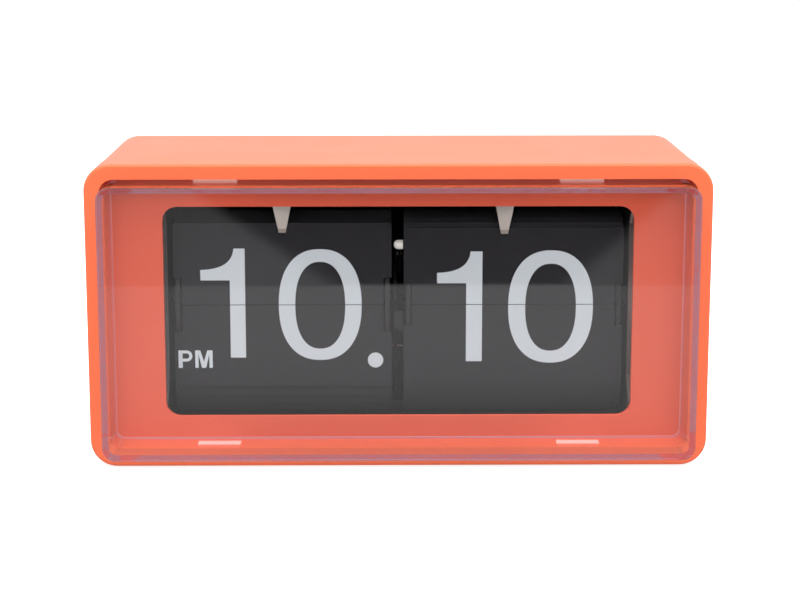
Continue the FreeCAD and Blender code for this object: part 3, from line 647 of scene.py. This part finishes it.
def grid_of(name, seed_mesh, finish_name, centre, gap_x, gap_y=0.0, gap_z=0.0, turn=0.0, count=4):
    """Copies of a small shape on a two-by-two grid round a centre, the right-hand ones turned about z."""
    maker = Maker(name + "_grid", {
        "Count": count, "Centre X": centre.x, "Centre Y": centre.y, "Centre Z": centre.z,
        "Gap X": float(gap_x), "Gap Y": float(gap_y), "Gap Z": float(gap_z), "Turn": float(turn)})
    index = maker.index()
    side = index % 2.0
    row = (index - side) / 2.0 - (0.5 if count > 2 else 0.0)
    position = maker.vector(
        maker["Centre X"] + (side - 0.5) * maker["Gap X"], maker["Centre Y"] + row * maker["Gap Y"],
        maker["Centre Z"] + row * maker["Gap Z"])
    rotation = maker.vector(0.0, 0.0, side * maker["Turn"])
    maker.close(maker.scatter(maker["Count"], position, rotation), finish_name)
    return maker.grow(name, seed_mesh)


def leaf_fan(drum, name, first, count):
    """The leaves that wait behind the front ones, fanned over the drum and hanging below it."""
    radians = math.pi / 180
    maker = Maker(name + "_fan", {
        "Count": count, "First": first, "Pitch": 360.0 / drum["count"], "Phase": drum["phase"],
        "Lag": drum["lag"], "Radius": FAN_RADIUS * MM})
    turn = (maker.index() + maker["First"]) * maker["Pitch"] + maker["Phase"]
    over = turn > 180.0
    hang = ((turn - 180.0) / 90.0).at_most(1.0)
    lean = (turn - maker["Lag"]) * (1.0 - over) + (180.0 - maker["Lag"] * (1.0 - hang)) * over
    angle = turn * radians
    centre = spot(0, AXLE_DEPTH, SPLIT_HEIGHT)
    position = maker.vector(
        0.0, centre.y - maker["Radius"] * angle.cosine(), centre.z + maker["Radius"] * angle.sine())
    rotation = maker.vector(lean * -radians)
    maker.close(maker.scatter(maker["Count"], position, rotation), "black_leaf")
    return maker.grow(name, smoothed(leaf_blank(drum), 20))


def leaf_blank(drum):
    """One leaf in its own plane, pivot at the origin, with notched sides and rounded outer corners."""
    left, right = drum["left"] * MM, drum["right"] * MM
    inset, corner = NOTCH_WIDTH * MM, LEAF_CORNER * MM
    low, top, notch = LEAF_FOOT * MM, LEAF_LENGTH * MM, drum["notch"] * MM
    half = [(inset, low), (inset, notch), (0.0, notch)]
    half += [(corner * (1 - math.cos(a)), top - corner * (1 - math.sin(a)))
             for a in (k * math.pi / 12 for k in range(7))]
    outline = [(left + x, z) for x, z in half] + [(right - x, z) for x, z in reversed(half)]
    work = slab([outline], drum["thick"] * MM)
    bmesh.ops.translate(work, verts=work.verts, vec=(0.0, -drum["thick"] * MM / 2, 0.0))
    return plain_mesh(drum["name"] + "_blank", work)


def cross_cutter(half_width, half_length, depth):
    """Tapered cross for a screw's recess, pointing down from just above z = 0."""
    taper, above = 0.55, 0.3
    work = bmesh.new()
    for across, along in ((half_width, half_length), (half_length, half_width)):
        for vert in bmesh.ops.create_cube(work, size=2.0)["verts"]:
            deep = vert.co.z < 0
            shrink = taper if deep else 1.0
            vert.co = Vector((vert.co.x * across * (shrink if across > along else 1.0) * MM,
                              vert.co.y * along * (shrink if along > across else 1.0) * MM,
                              (-depth if deep else above) * MM))
    return plain_mesh("cross", work)


def screw_mesh(shank, head, head_height, length, slope=0.35):
    """Pan-head screw along z: head above the origin with a cross recess, threaded shank below."""
    pitch, tip, crest, under_head = 0.5, 0.35, 0.2, 0.12
    root = shank * 0.82
    profile = [(0, -length), (shank * 0.55, -length)]
    for k in range(int((length - 0.6) / pitch)):
        base = -length + tip + k * pitch
        profile += [(root, base), (shank, base + crest)]
    profile += [
        (root, -under_head), (root, 0.0), (head * 0.96, 0.0), (head, under_head),
        (head, head_height * (1 - slope)), (head * 0.86, head_height * 0.9), (head * 0.55, head_height),
        (0, head_height)]
    body = placed("screw_body", plain_mesh("screw", lathe(profile, 32)))
    cutter_mesh = cross_cutter(head * 0.11, head * 0.52, head_height * 0.62)
    cutter_mesh.transform(Matrix.Translation((0, 0, head_height * MM)))
    cutter = placed("screw_cutter", cutter_mesh)
    cut = body.modifiers.new("recess", "BOOLEAN")
    cut.operation = "DIFFERENCE"
    cut.solver = "EXACT"
    cut.use_self = True
    cut.object = cutter
    mesh = evaluated_mesh(body)
    bpy.data.objects.remove(cutter)
    return smoothed(mesh, 38)


def turned(mesh, axis, degrees):
    mesh.transform(Matrix.Rotation(math.radians(degrees), 4, axis))
    return mesh


# ---- numerals

def oval(x, z, half_width, half_height, fullness=2.3, count=80):
    """Outline of a nought: an ellipse with slightly squared shoulders."""
    points = []
    for k in range(count):
        a = 2 * math.pi * k / count
        c, s = math.cos(a), math.sin(a)
        r = (abs(c) ** fullness + abs(s) ** fullness) ** (-1 / fullness)
        points.append((x + half_width * r * c, z + half_height * r * s))
    return points


def numeral_one(left, right, bottom, top):
    """Outline of a one with a curved flag and no foot, from the edges of its stem."""
    flag_foot, tip_x = top - 11.2, left - 10.1
    curve = interpolate_bezier(
        (left + 1.45, top), (left + 1.0, top - 5.0), (left - 2.8, top - 7.35), (tip_x, top - 7.5), 15)
    return [[(right, bottom), (right, top), *curve, (tip_x, flag_foot), (left, flag_foot), (left, bottom)]]


def letter_p(left, bottom, width, height):
    """Outlines of a P whose bowl is a half circle."""
    stem, bar, bowl = width * 0.30, height * 0.17, height * 0.36
    right, low, top = left + width, bottom + bowl, bottom + height
    radius, middle = (top - low) / 2, (top + low) / 2

    def half_circle(r):
        return [(right - radius + r * math.cos(a), middle + r * math.sin(a))
                for a in (math.pi / 2 - k * math.pi / 14 for k in range(15))]

    inner = left + stem
    return [[(left, bottom), (left, top), *half_circle(radius), (inner, low), (inner, bottom)],
            [(inner, low + bar), (inner, top - bar), *half_circle(radius - bar)]]


def letter_m(left, bottom, width, height):
    """Outline of an M with a pointed notch."""
    right, top, middle = left + width, bottom + height, left + width / 2
    stem, shoulder, foot = width * 0.19, width * 0.30, width * 0.12
    half = [(0, bottom), (0, top), (shoulder, top)]
    inner = [(stem, bottom + height * 0.78), (stem, bottom)]
    outline = [(left + x, z) for x, z in half] + [(middle, bottom + height * 0.36)]
    outline += [(right - x, z) for x, z in reversed(half)]
    outline += [(right - x, z) for x, z in reversed(inner)]
    outline += [(middle + foot, bottom), (middle - foot, bottom)]
    return [outline + [(left + x, z) for x, z in inner]]


def figures(drum, text):
    """Outlines of 10 or 11, and on the hour leaves of the dot and the half of the day."""
    tens = numeral_one(*drum["tens"], *drum["figure_ends"])
    if text == "10":
        x, z = drum["nought"]
        ones = [oval(x, z, *drum["outer"]), oval(x, z - INNER_DROP, *drum["inner"])]
    else:
        ones = numeral_one(*drum["ones"], *drum["figure_ends"])
    if drum is MINUTE:
        return [tens, ones]
    x, z, radius = HOUR_DOT
    return [tens, ones, [oval(x, z, radius, radius, 2.0, 36)],
            letter_p(P_LEFT, PM_FOOT, P_WIDTH, PM_HEIGHT), letter_m(M_LEFT, PM_FOOT, M_WIDTH, PM_HEIGHT)]


def printed(name, shapes, upper):
    """Thin print of one half of the figures, in the leaf's plane with the split line at the origin."""
    sizes = bpy.context.scene.clock_sizes
    whole = bmesh.new()
    for outlines in shapes:
        in_metres = [[(x * MM, (z - SPLIT_HEIGHT) * MM) for x, z in outline] for outline in outlines]
        slab(in_metres, sizes.ink_height + PRINT_SUNK * MM, whole)
    bmesh.ops.translate(whole, verts=whole.verts, vec=(0.0, -sizes.ink_height, 0.0))
    side = 1.0 if upper else -1.0
    bmesh.ops.bisect_plane(
        whole, geom=whole.verts[:] + whole.edges[:] + whole.faces[:],
        plane_co=(0.0, 0.0, side * sizes.split_gap), plane_no=(0.0, 0.0, -side), clear_outer=True)
    bmesh.ops.holes_fill(whole, edges=[e for e in whole.edges if e.is_boundary], sides=0)
    return placed(name, plain_mesh(name, whole), "white_ink")


def set_upright(piece, face_y, over=0.0):
    """Put a print on an upright leaf's face; half a turn over, on its rear, it reads once the leaf fell."""
    on_face = Matrix.Translation((0.0, face_y, spot(0, 0, SPLIT_HEIGHT).z))
    piece.data.transform(on_face @ Matrix.Rotation(over, 4, "X"))


def set_on_next(piece, drum):
    """Print on the leaf that waits next: turned with it and set at its pivot."""
    turn = math.radians(drum["phase"] + 360.0 / drum["count"])
    lean = Matrix.Rotation(math.radians(drum["lag"]) - turn, 4, "X")
    pivot = spot(0, AXLE_DEPTH - FAN_RADIUS * math.cos(turn), SPLIT_HEIGHT + FAN_RADIUS * math.sin(turn))
    off_face = Matrix.Translation((0.0, -drum["thick"] * MM / 2, 0.0))
    piece.data.transform(Matrix.Translation(pivot) @ lean @ off_face)


# ---- operators

class ClockStep:
    """What every step of the clock shares: nodes to smooth or to leave faceted, with their finishes."""

    bl_options = {"REGISTER", "UNDO"}
    smooth = {}
    faceted = {}

    def execute(self, context):
        for node, (finish_name, *degrees) in self.smooth.items():
            rounded(node, finish_name, *degrees)
        for node, finish_name in self.faceted.items():
            dressed(node, finish_name)
        self.build(context.scene)
        return {"FINISHED"}

    def build(self, scene):
        """Make what isn't a copy of a node."""


class CLOCK_OT_shells(ClockStep, bpy.types.Operator):
    """Mould the case, the bezel, the battery door and the dial panel"""

    bl_idname = "flip_clock.shells"
    bl_label = "Shells"

    # The rear case and battery door carry painted shade: a dull black over their faces inside the case.
    smooth = {"front_bezel": ["orange_plastic"], "rear_case": ["lined_plastic"],
              "battery_door": ["lined_plastic"], "dial_panel": ["coral_panel"]}


class CLOCK_OT_cover(ClockStep, bpy.types.Operator):
    """Set the clear cover and its latches over the dial"""

    bl_idname = "flip_clock.cover"
    bl_label = "Clear cover"

    smooth = {"lens_cover": ["clear_acrylic", 40]}
    faceted = {"lens_latches": "milky_tab"}


class CLOCK_OT_leaves(ClockStep, bpy.types.Operator):
    """Finish the front leaves and fan the waiting ones over their drums"""

    bl_idname = "flip_clock.leaves"
    bl_label = "Leaves"

    def build(self, scene):
        for drum in (HOUR, MINUTE):
            name = drum["name"] + "_leaf_"
            for place in ("front", "next", "lower"):
                dressed(name + place, "black_leaf")
            fan = leaf_fan(drum, name + "fan", 2, drum["count"] - 3)
            settle(fan, "case", "black_leaf", name + "pack")


class CLOCK_OT_numerals(ClockStep, bpy.types.Operator):
    """Print the numerals on the leaves that show now and on those that show next"""

    bl_idname = "flip_clock.numerals"
    bl_label = "Numerals"

    def build(self, scene):
        for drum in (HOUR, MINUTE):
            name = drum["name"]
            front_low, front_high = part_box(name + "_leaf_front")
            lower_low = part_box(name + "_leaf_lower")[0]
            for place, text, upper, body, face_y, over in (
                    ("upper", "10", True, name + "_flap", front_low.y, 0.0),
                    ("lower", "10", False, "case", lower_low.y, 0.0),
                    ("back", "11", False, name + "_flap", front_high.y, math.pi)):
                piece = printed(name + "_print_" + place, figures(drum, text), upper)
                set_upright(piece, face_y, over)
                settle(piece, body, "black_leaf")
            waiting = printed(name + "_print_next", figures(drum, "11"), True)
            set_on_next(waiting, drum)
            settle(waiting, "case", "black_leaf")


class CLOCK_OT_drums(ClockStep, bpy.types.Operator):
    """Finish the drum spools, their axle, clips and the white peg in the gap"""

    bl_idname = "flip_clock.drums"
    bl_label = "Drums"

    smooth = {
        "hour_spool": ["black_moulding"], "minute_spool": ["black_moulding"], "axle_clips": ["zinc_plate"],
        "lever_pin": ["zinc_plate"], "drum_axle": ["blued_steel"], "transfer_peg": ["nylon", 60]}
    faceted = {"transfer_lever": "black_moulding"}


class CLOCK_OT_tongues(ClockStep, bpy.types.Operator):
    """Finish the spring tongues and set their rivets"""

    bl_idname = "flip_clock.tongues"
    bl_label = "Spring tongues"

    smooth = {"hour_tongue": ["sprung_steel", 20], "minute_tongue": ["sprung_steel", 20]}

    def build(self, scene):
        low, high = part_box("tongue_rivets")
        radius = (high.z - low.z) / 2 / MM
        shank, length, head_height = 0.8, 2.7, 0.7
        profile = [(0, -length), (shank, -length), (shank, 0.0), (radius, 0.0), (radius, 0.25),
                   (radius * 0.8, 0.55), (radius * 0.4, 0.68), (0, head_height)]
        rivet = turned(smoothed(plain_mesh("rivet", lathe(profile, 28))), "X", 90)
        centre = Vector(((low.x + high.x) / 2, low.y + head_height * MM, (low.z + high.z) / 2))
        apart = high.x - low.x - 2 * radius * MM
        rivets = grid_of("rivets", rivet, "yellow_brass", centre, apart, count=2)
        settle(rivets, "case", "brass", "tongue_rivets")


class CLOCK_OT_frame(ClockStep, bpy.types.Operator):
    """Finish the side plates, bars, pillars and centre bracket"""

    bl_idname = "flip_clock.frame"
    bl_label = "Movement frame"

    smooth = {"plate_pillars": ["yellow_brass"]}
    faceted = {
        "left_side_plate": "sheet_steel", "right_side_plate": "sheet_steel",
        "gear_cover_plate": "sheet_steel", "top_cross_bar": "blued_steel",
        "bottom_cross_bar": "blued_steel", "centre_bracket": "black_moulding"}


class CLOCK_OT_screws(ClockStep, bpy.types.Operator):
    """Drive the case, movement and frame screws"""

    bl_idname = "flip_clock.screws"
    bl_label = "Screws"

    def build(self, scene):
        self.rear_screws("case_screws", shank=1.2, head=2.5, head_height=1.8)
        self.rear_screws("movement_screws", shank=1.1, head=2.0, head_height=1.2)
        low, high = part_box("frame_screws")
        shank, head, head_height, length = 1.0, 2.0, 1.2, 9.5
        shape = turned(screw_mesh(shank, head, head_height, length), "Y", -90)
        screws = grid_of(
            "frame_screws_turned", shape, "zinc_plate", (low + high) / 2,
            high.x - low.x - 2 * head_height * MM, gap_y=low.y - high.y + 2 * head * MM,
            gap_z=high.z - low.z - 2 * head * MM, turn=math.pi)
        settle(screws, "case", "plated_steel", "frame_screws")
        rounded("pillar_screws", "zinc_plate")

    def rear_screws(self, node, shank, head, head_height):
        """Four screws driven from the rear, their heads towards +y."""
        low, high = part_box(node)
        length = (high.y - low.y) / MM - head_height
        shape = turned(screw_mesh(shank, head, head_height, length), "X", -90)
        centre = Vector(((low.x + high.x) / 2, high.y - head_height * MM, (low.z + high.z) / 2))
        screws = grid_of(node + "_turned", shape, "zinc_plate", centre, high.x - low.x - 2 * head * MM,
                         gap_z=high.z - low.z - 2 * head * MM)
        settle(screws, "case", "plated_steel", node)


class CLOCK_OT_gears(ClockStep, bpy.types.Operator):
    """Finish the gear train"""

    bl_idname = "flip_clock.gears"
    bl_label = "Gears"

    smooth = {
        "minute_gear": ["nylon", 25], "intermediate_wheel": ["nylon", 25],
        "intermediate_pinion": ["yellow_brass", 25], "drive_pinion": ["yellow_brass", 25],
        "set_gear": ["yellow_brass", 25]}


class CLOCK_OT_set_wheel(ClockStep, bpy.types.Operator):
    """Turn the time-set wheel and cut its grip ridges"""

    bl_idname = "flip_clock.set_wheel"
    bl_label = "Time-set wheel"

    def build(self, scene):
        low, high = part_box("set_wheel")
        centre = (low + high) / 2
        width, radius = (high.x - low.x) / MM, (high.z - low.z) / 2 / MM
        bore, bevel, recess, ridge_height = 1.5, 0.5, 1.2, 0.45
        rim = radius - ridge_height
        profile = [
            (bore, 0), (rim - bevel, 0), (rim, bevel), (rim, width - bevel), (rim - bevel, width),
            (10.2, width), (9.8, width - 1.0), (9.2, width - recess), (4.4, width - recess),
            (4.0, width - 0.9), (3.8, width), (bore, width)]
        work = lathe(profile + profile[:1], 96)
        bmesh.ops.remove_doubles(work, verts=work.verts, dist=0.001 * MM)
        wheel = turned(smoothed(plain_mesh("wheel", work)), "Y", 90)
        wheel.transform(Matrix.Translation((low.x, centre.y, centre.z)))
        disc = placed("set_wheel_disc", wheel, "black_moulding")
        settle(disc, "setter", "black_plastic", "set_wheel")
        settle(self.grip(scene, centre, width, rim), "setter", "black_plastic")

    def grip(self, scene, centre, width, rim):
        """Rounded ridges along the wheel's edge."""
        outline = [(-0.42, -0.2), (-0.36, 0.2), (-0.18, 0.42), (0.18, 0.42), (0.36, 0.2), (0.42, -0.2)]
        length = width - 0.8
        work = slab([[(x * MM, z * MM) for x, z in outline]], length * MM)
        ridge = turned(smoothed(plain_mesh("ridge", work), 50), "Z", -90)
        ridge.transform(Matrix.Translation((-length / 2 * MM, 0.0, 0.0)))
        maker = Maker("grip_ridges", {"Count": scene.clock_sizes.wheel_ridges, "Rim": rim * MM})
        angle = maker.index() * (2 * math.pi) / maker["Count"]
        position = maker.vector(
            centre.x, centre.y - maker["Rim"] * angle.sine(), centre.z + maker["Rim"] * angle.cosine())
        maker.close(maker.scatter(maker["Count"], position, maker.vector(angle)), "black_moulding")
        return maker.grow("set_wheel_grip", ridge)


class CLOCK_OT_drive(ClockStep, bpy.types.Operator):
    """Finish the quartz drive and wind its coil"""

    bl_idname = "flip_clock.drive"
    bl_label = "Quartz drive"

    smooth = {"quartz_crystal": ["zinc_plate"]}
    faceted = {
        "drive_housing": "black_moulding", "drive_lid": "black_moulding", "circuit_board": "green_board"}

    def build(self, scene):
        settle(self.winding(scene), "case", "copper", "motor_coil")

    def winding(self, scene):
        """Core with a close helix of wire round it."""
        low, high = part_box("motor_coil")
        centre = (low + high) / 2
        core, wire, outer, wound = 0.8, 0.22, 2.0, 16.0
        ends = (high.y - low.y) / 2 / MM
        body = outer - 2 * wire
        profile = [(0, -ends), (core, -ends), (core, -wound / 2), (body, -wound / 2), (body, wound / 2),
                   (core, wound / 2), (core, ends), (0, ends)]
        bobbin = smoothed(plain_mesh("bobbin", lathe(profile, 28)))
        maker = Maker("coil_winding", {"Turns": scene.clock_sizes.coil_turns, "Wire": wire * MM,
                                       "Radius": (outer - wire) * MM, "Length": (wound - 2 * wire) * MM})
        helix = maker.node("GeometryNodeCurveSpiral", {}, {
            "Resolution": 18, "Rotations": maker["Turns"], "Start Radius": maker["Radius"],
            "End Radius": maker["Radius"], "Height": maker["Length"]})
        lowered = maker.node("GeometryNodeTransform", {}, {
            "Geometry": helix, "Translation": maker.vector(0.0, 0.0, maker["Length"] * -0.5)})
        section = maker.node("GeometryNodeCurvePrimitiveCircle", {}, {
            "Resolution": 6, "Radius": maker["Wire"]})
        tube = maker.node("GeometryNodeCurveToMesh", {}, {
            "Curve": lowered, "Profile Curve": section, "Fill Caps": True})
        both = maker.node("GeometryNodeJoinGeometry", {}, {0: [tube, maker["Geometry"]]})
        maker.close(both, "copper_wire")
        coil = maker.grow("coil", bobbin)
        coil.data.transform(Matrix.Translation(centre) @ Matrix.Rotation(math.pi / 2, 4, "X"))
        return coil


class CLOCK_OT_battery(ClockStep, bpy.types.Operator):
    """Finish the battery holder, its contacts, the cell and the leads"""

    bl_idname = "flip_clock.battery"
    bl_label = "Battery"

    smooth = {"plus_lead": ["red_sleeve", 60], "minus_lead": ["black_sleeve", 60]}
    faceted = {
        "battery_holder": "black_moulding", "contact_plate": "zinc_plate", "contact_spring": "zinc_plate"}

    def build(self, scene):
        low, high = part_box("battery_cell")
        centre = (low + high) / 2
        radius, length = (high.z - low.z) / 2 / MM, (high.x - low.x) / MM
        button, button_height, bevel = 2.75, 1.2, 0.3
        can = length - button_height
        profile = [
            (0, 0.25), (radius - 1.8, 0.25), (radius - 1.2, 0), (radius - 0.5, 0), (radius, 0.5),
            (radius, can - 0.6), (radius - 0.6, can), (radius - 1.4, can), (radius - 1.8, can - bevel),
            (2.9, can - bevel), (button, can), (button, length - bevel), (button - bevel, length),
            (0, length)]
        cell = turned(smoothed(plain_mesh("cell", lathe(profile, 64))), "Y", 90)
        cell.transform(Matrix.Translation((low.x, centre.y, centre.z)))
        settle(placed("wrapped_cell", cell, "cell_wrap"), "case", "cell_label", "battery_cell")


class CLOCK_OT_feet(ClockStep, bpy.types.Operator):
    """Set the four grooved rubber feet"""

    bl_idname = "flip_clock.feet"
    bl_label = "Feet"

    def build(self, scene):
        low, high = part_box("rubber_feet")
        radius, height = 6.0, (high.z - low.z) / MM
        profile = [(0, height), (radius, height), (radius, 0.35), (radius - 0.3, 0.0)]
        for groove in (4.6, 3.2, 1.8):
            profile += [(groove, 0.0), (groove - 0.15, 0.3), (groove - 0.55, 0.3), (groove - 0.7, 0.0)]
        foot = smoothed(plain_mesh("foot", lathe(profile + [(0, 0.0)], 48)), 40)
        centre = Vector(((low.x + high.x) / 2, (low.y + high.y) / 2, low.z))
        width = 2 * radius * MM
        feet = grid_of("grooved_feet", foot, "soft_rubber", centre, high.x - low.x - width,
                       gap_y=high.y - low.y - width)
        settle(feet, "case", "rubber", "rubber_feet")


class CLOCK_OT_stage(ClockStep, bpy.types.Operator):
    """Lay the plain floor, hang the lights and stand the camera"""

    bl_idname = "flip_clock.stage"
    bl_label = "Stage"

    def build(self, scene):
        studio = scene.clock_studio
        self.floor(scene)
        self.surroundings(scene)
        self.light("key", *KEY_LAMP, studio.key)
        self.light("fill", *FILL_LAMP, studio.fill)
        self.camera(scene, studio)
        scene.view_settings.view_transform = "Standard"

    def floor(self, scene):
        """Pale table: bright only up to its edge before the dial as far as reflections are concerned."""
        reach = 8.0
        work = bmesh.new()
        square = ((-1, -1), (1, -1), (1, 1), (-1, 1))
        work.faces.new([work.verts.new((x * reach, y * reach, 0.0)) for x, y in square])
        table = placed("table", plain_mesh("table", work))
        t = Finish("pale_table")
        base, white = scene.clock_colours.floor, (1.0, 1.0, 1.0, 1.0)
        pale = t.mixed(t.noise(6, 2), rgba(base, 0.985), rgba(base))
        diffuse = t.path("Diffuse")
        lit = t.node("ShaderNodeBsdfDiffuse", {}, {"Color": t.mixed(diffuse, pale, rgba(base, 0.40))})
        glow = t.node("ShaderNodeEmission", {}, {"Color": white, "Strength": 0.80 - diffuse * 0.72})
        seen = t.node("ShaderNodeAddShader", {}, {0: lit, 1: glow})
        mirrored = t.node("ShaderNodeEmission", {}, {
            "Color": white, "Strength": self.mirror_brightness(t, scene.clock_studio.table_edge)})
        shader = t.node("ShaderNodeMixShader", {}, {0: t.path("Glossy"), 1: seen, 2: mirrored})
        table.data.materials.append(t.surface(shader))

    @staticmethod
    def mirror_brightness(t, edge_y):
        """How bright the dial mirrors the table: dark in a wedge before the edge, dimmer near the clock."""
        softness, wedge_x, wedge_half, wedge_slope = 0.006, 0.029, 0.058, 0.33
        x, y = t.axis("X"), t.axis("Y")
        past_edge = t.eased(y, edge_y - softness, edge_y + softness)
        beside = abs(x - wedge_x) - wedge_half - (edge_y - y) * wedge_slope
        past_wedge = t.eased(beside, -0.008, 0.012, high=0.55)
        return past_edge.at_least(past_wedge) * t.eased(y, -0.25, -0.08, 0.80, 0.62)

    def surroundings(self, scene):
        """White room, dark only where the dial would mirror the side of the camera."""
        scene.world = bpy.data.worlds.new("room")
        scene.world.use_nodes = True
        t = Tree(scene.world.node_tree)
        t.tree.nodes.clear()
        direction = t.node("ShaderNodeTexCoord", output="Generated")
        y = t.node("ShaderNodeSeparateXYZ", {}, {0: direction}, output="Y")
        front = t.eased(y, -0.93, -0.78, 0.04, 1.0)
        glossy, diffuse = t.path("Glossy"), t.path("Diffuse")
        strength = (1.0 - glossy - diffuse) * 1.05 + glossy * front + diffuse * 0.30
        back = t.node("ShaderNodeBackground", {}, {"Color": (1.0, 1.0, 1.0, 1.0), "Strength": strength})
        t.node("ShaderNodeOutputWorld", {}, {"Surface": back})

    def light(self, name, place, target, size, power):
        """Area lamp that only sends light, and shows in no view, mirror or glass."""
        lamp = bpy.data.lights.new(name, "AREA")
        lamp.shape = "RECTANGLE"
        lamp.size, lamp.size_y = size
        lamp.energy = power
        holder = placed(name + "_light", lamp)
        holder.location = place
        holder.rotation_euler = (Vector(target) - Vector(place)).to_track_quat("-Z", "Y").to_euler()
        holder.visible_camera = False
        holder.visible_glossy = False
        holder.visible_transmission = False

    def camera(self, scene, studio):
        """Camera at its stand, looking along its turn and tilt."""
        eye = bpy.data.cameras.new("camera")
        eye.lens = studio.lens
        eye.sensor_width = 36.0
        eye.shift_y = studio.rise
        holder = placed("camera", eye)
        ahead = Vector((math.sin(studio.turn) * math.cos(studio.tilt),
                        math.cos(studio.turn) * math.cos(studio.tilt), -math.sin(studio.tilt)))
        holder.location = studio.stand
        holder.rotation_euler = ahead.to_track_quat("-Z", "Y").to_euler()
        scene.camera = holder


STEPS = (
    CLOCK_OT_shells, CLOCK_OT_cover, CLOCK_OT_leaves, CLOCK_OT_numerals, CLOCK_OT_drums, CLOCK_OT_tongues,
    CLOCK_OT_frame, CLOCK_OT_screws, CLOCK_OT_gears, CLOCK_OT_set_wheel, CLOCK_OT_drive, CLOCK_OT_battery,
    CLOCK_OT_feet, CLOCK_OT_stage)
SETTINGS = {"clock_colours": ClockColours, "clock_sizes": ClockSizes, "clock_studio": ClockStudio}


class CLOCK_PT_steps(bpy.types.Panel):
    """Sidebar list of the clock's steps and settings"""

    bl_label = "Flip clock"
    bl_space_type = "VIEW_3D"
    bl_region_type = "UI"
    bl_category = "Flip clock"

    def draw(self, context):
        for name, group in SETTINGS.items():
            box = self.layout.box()
            for key in group.__annotations__:
                box.prop(getattr(context.scene, name), key)
        for step in STEPS:
            self.layout.operator(step.bl_idname)


def register():
    for cls in (*SETTINGS.values(), *STEPS, CLOCK_PT_steps):
        bpy.utils.register_class(cls)
    for name, group in SETTINGS.items():
        setattr(bpy.types.Scene, name, PointerProperty(type=group))


def unregister():
    for name in SETTINGS:
        delattr(bpy.types.Scene, name)
    for cls in reversed((*SETTINGS.values(), *STEPS, CLOCK_PT_steps)):
        bpy.utils.unregister_class(cls)


def main():
    register()
    for step in STEPS:
        group, name = step.bl_idname.split(".")
        getattr(getattr(bpy.ops, group), name)()


if __name__ == "__main__":
    main()
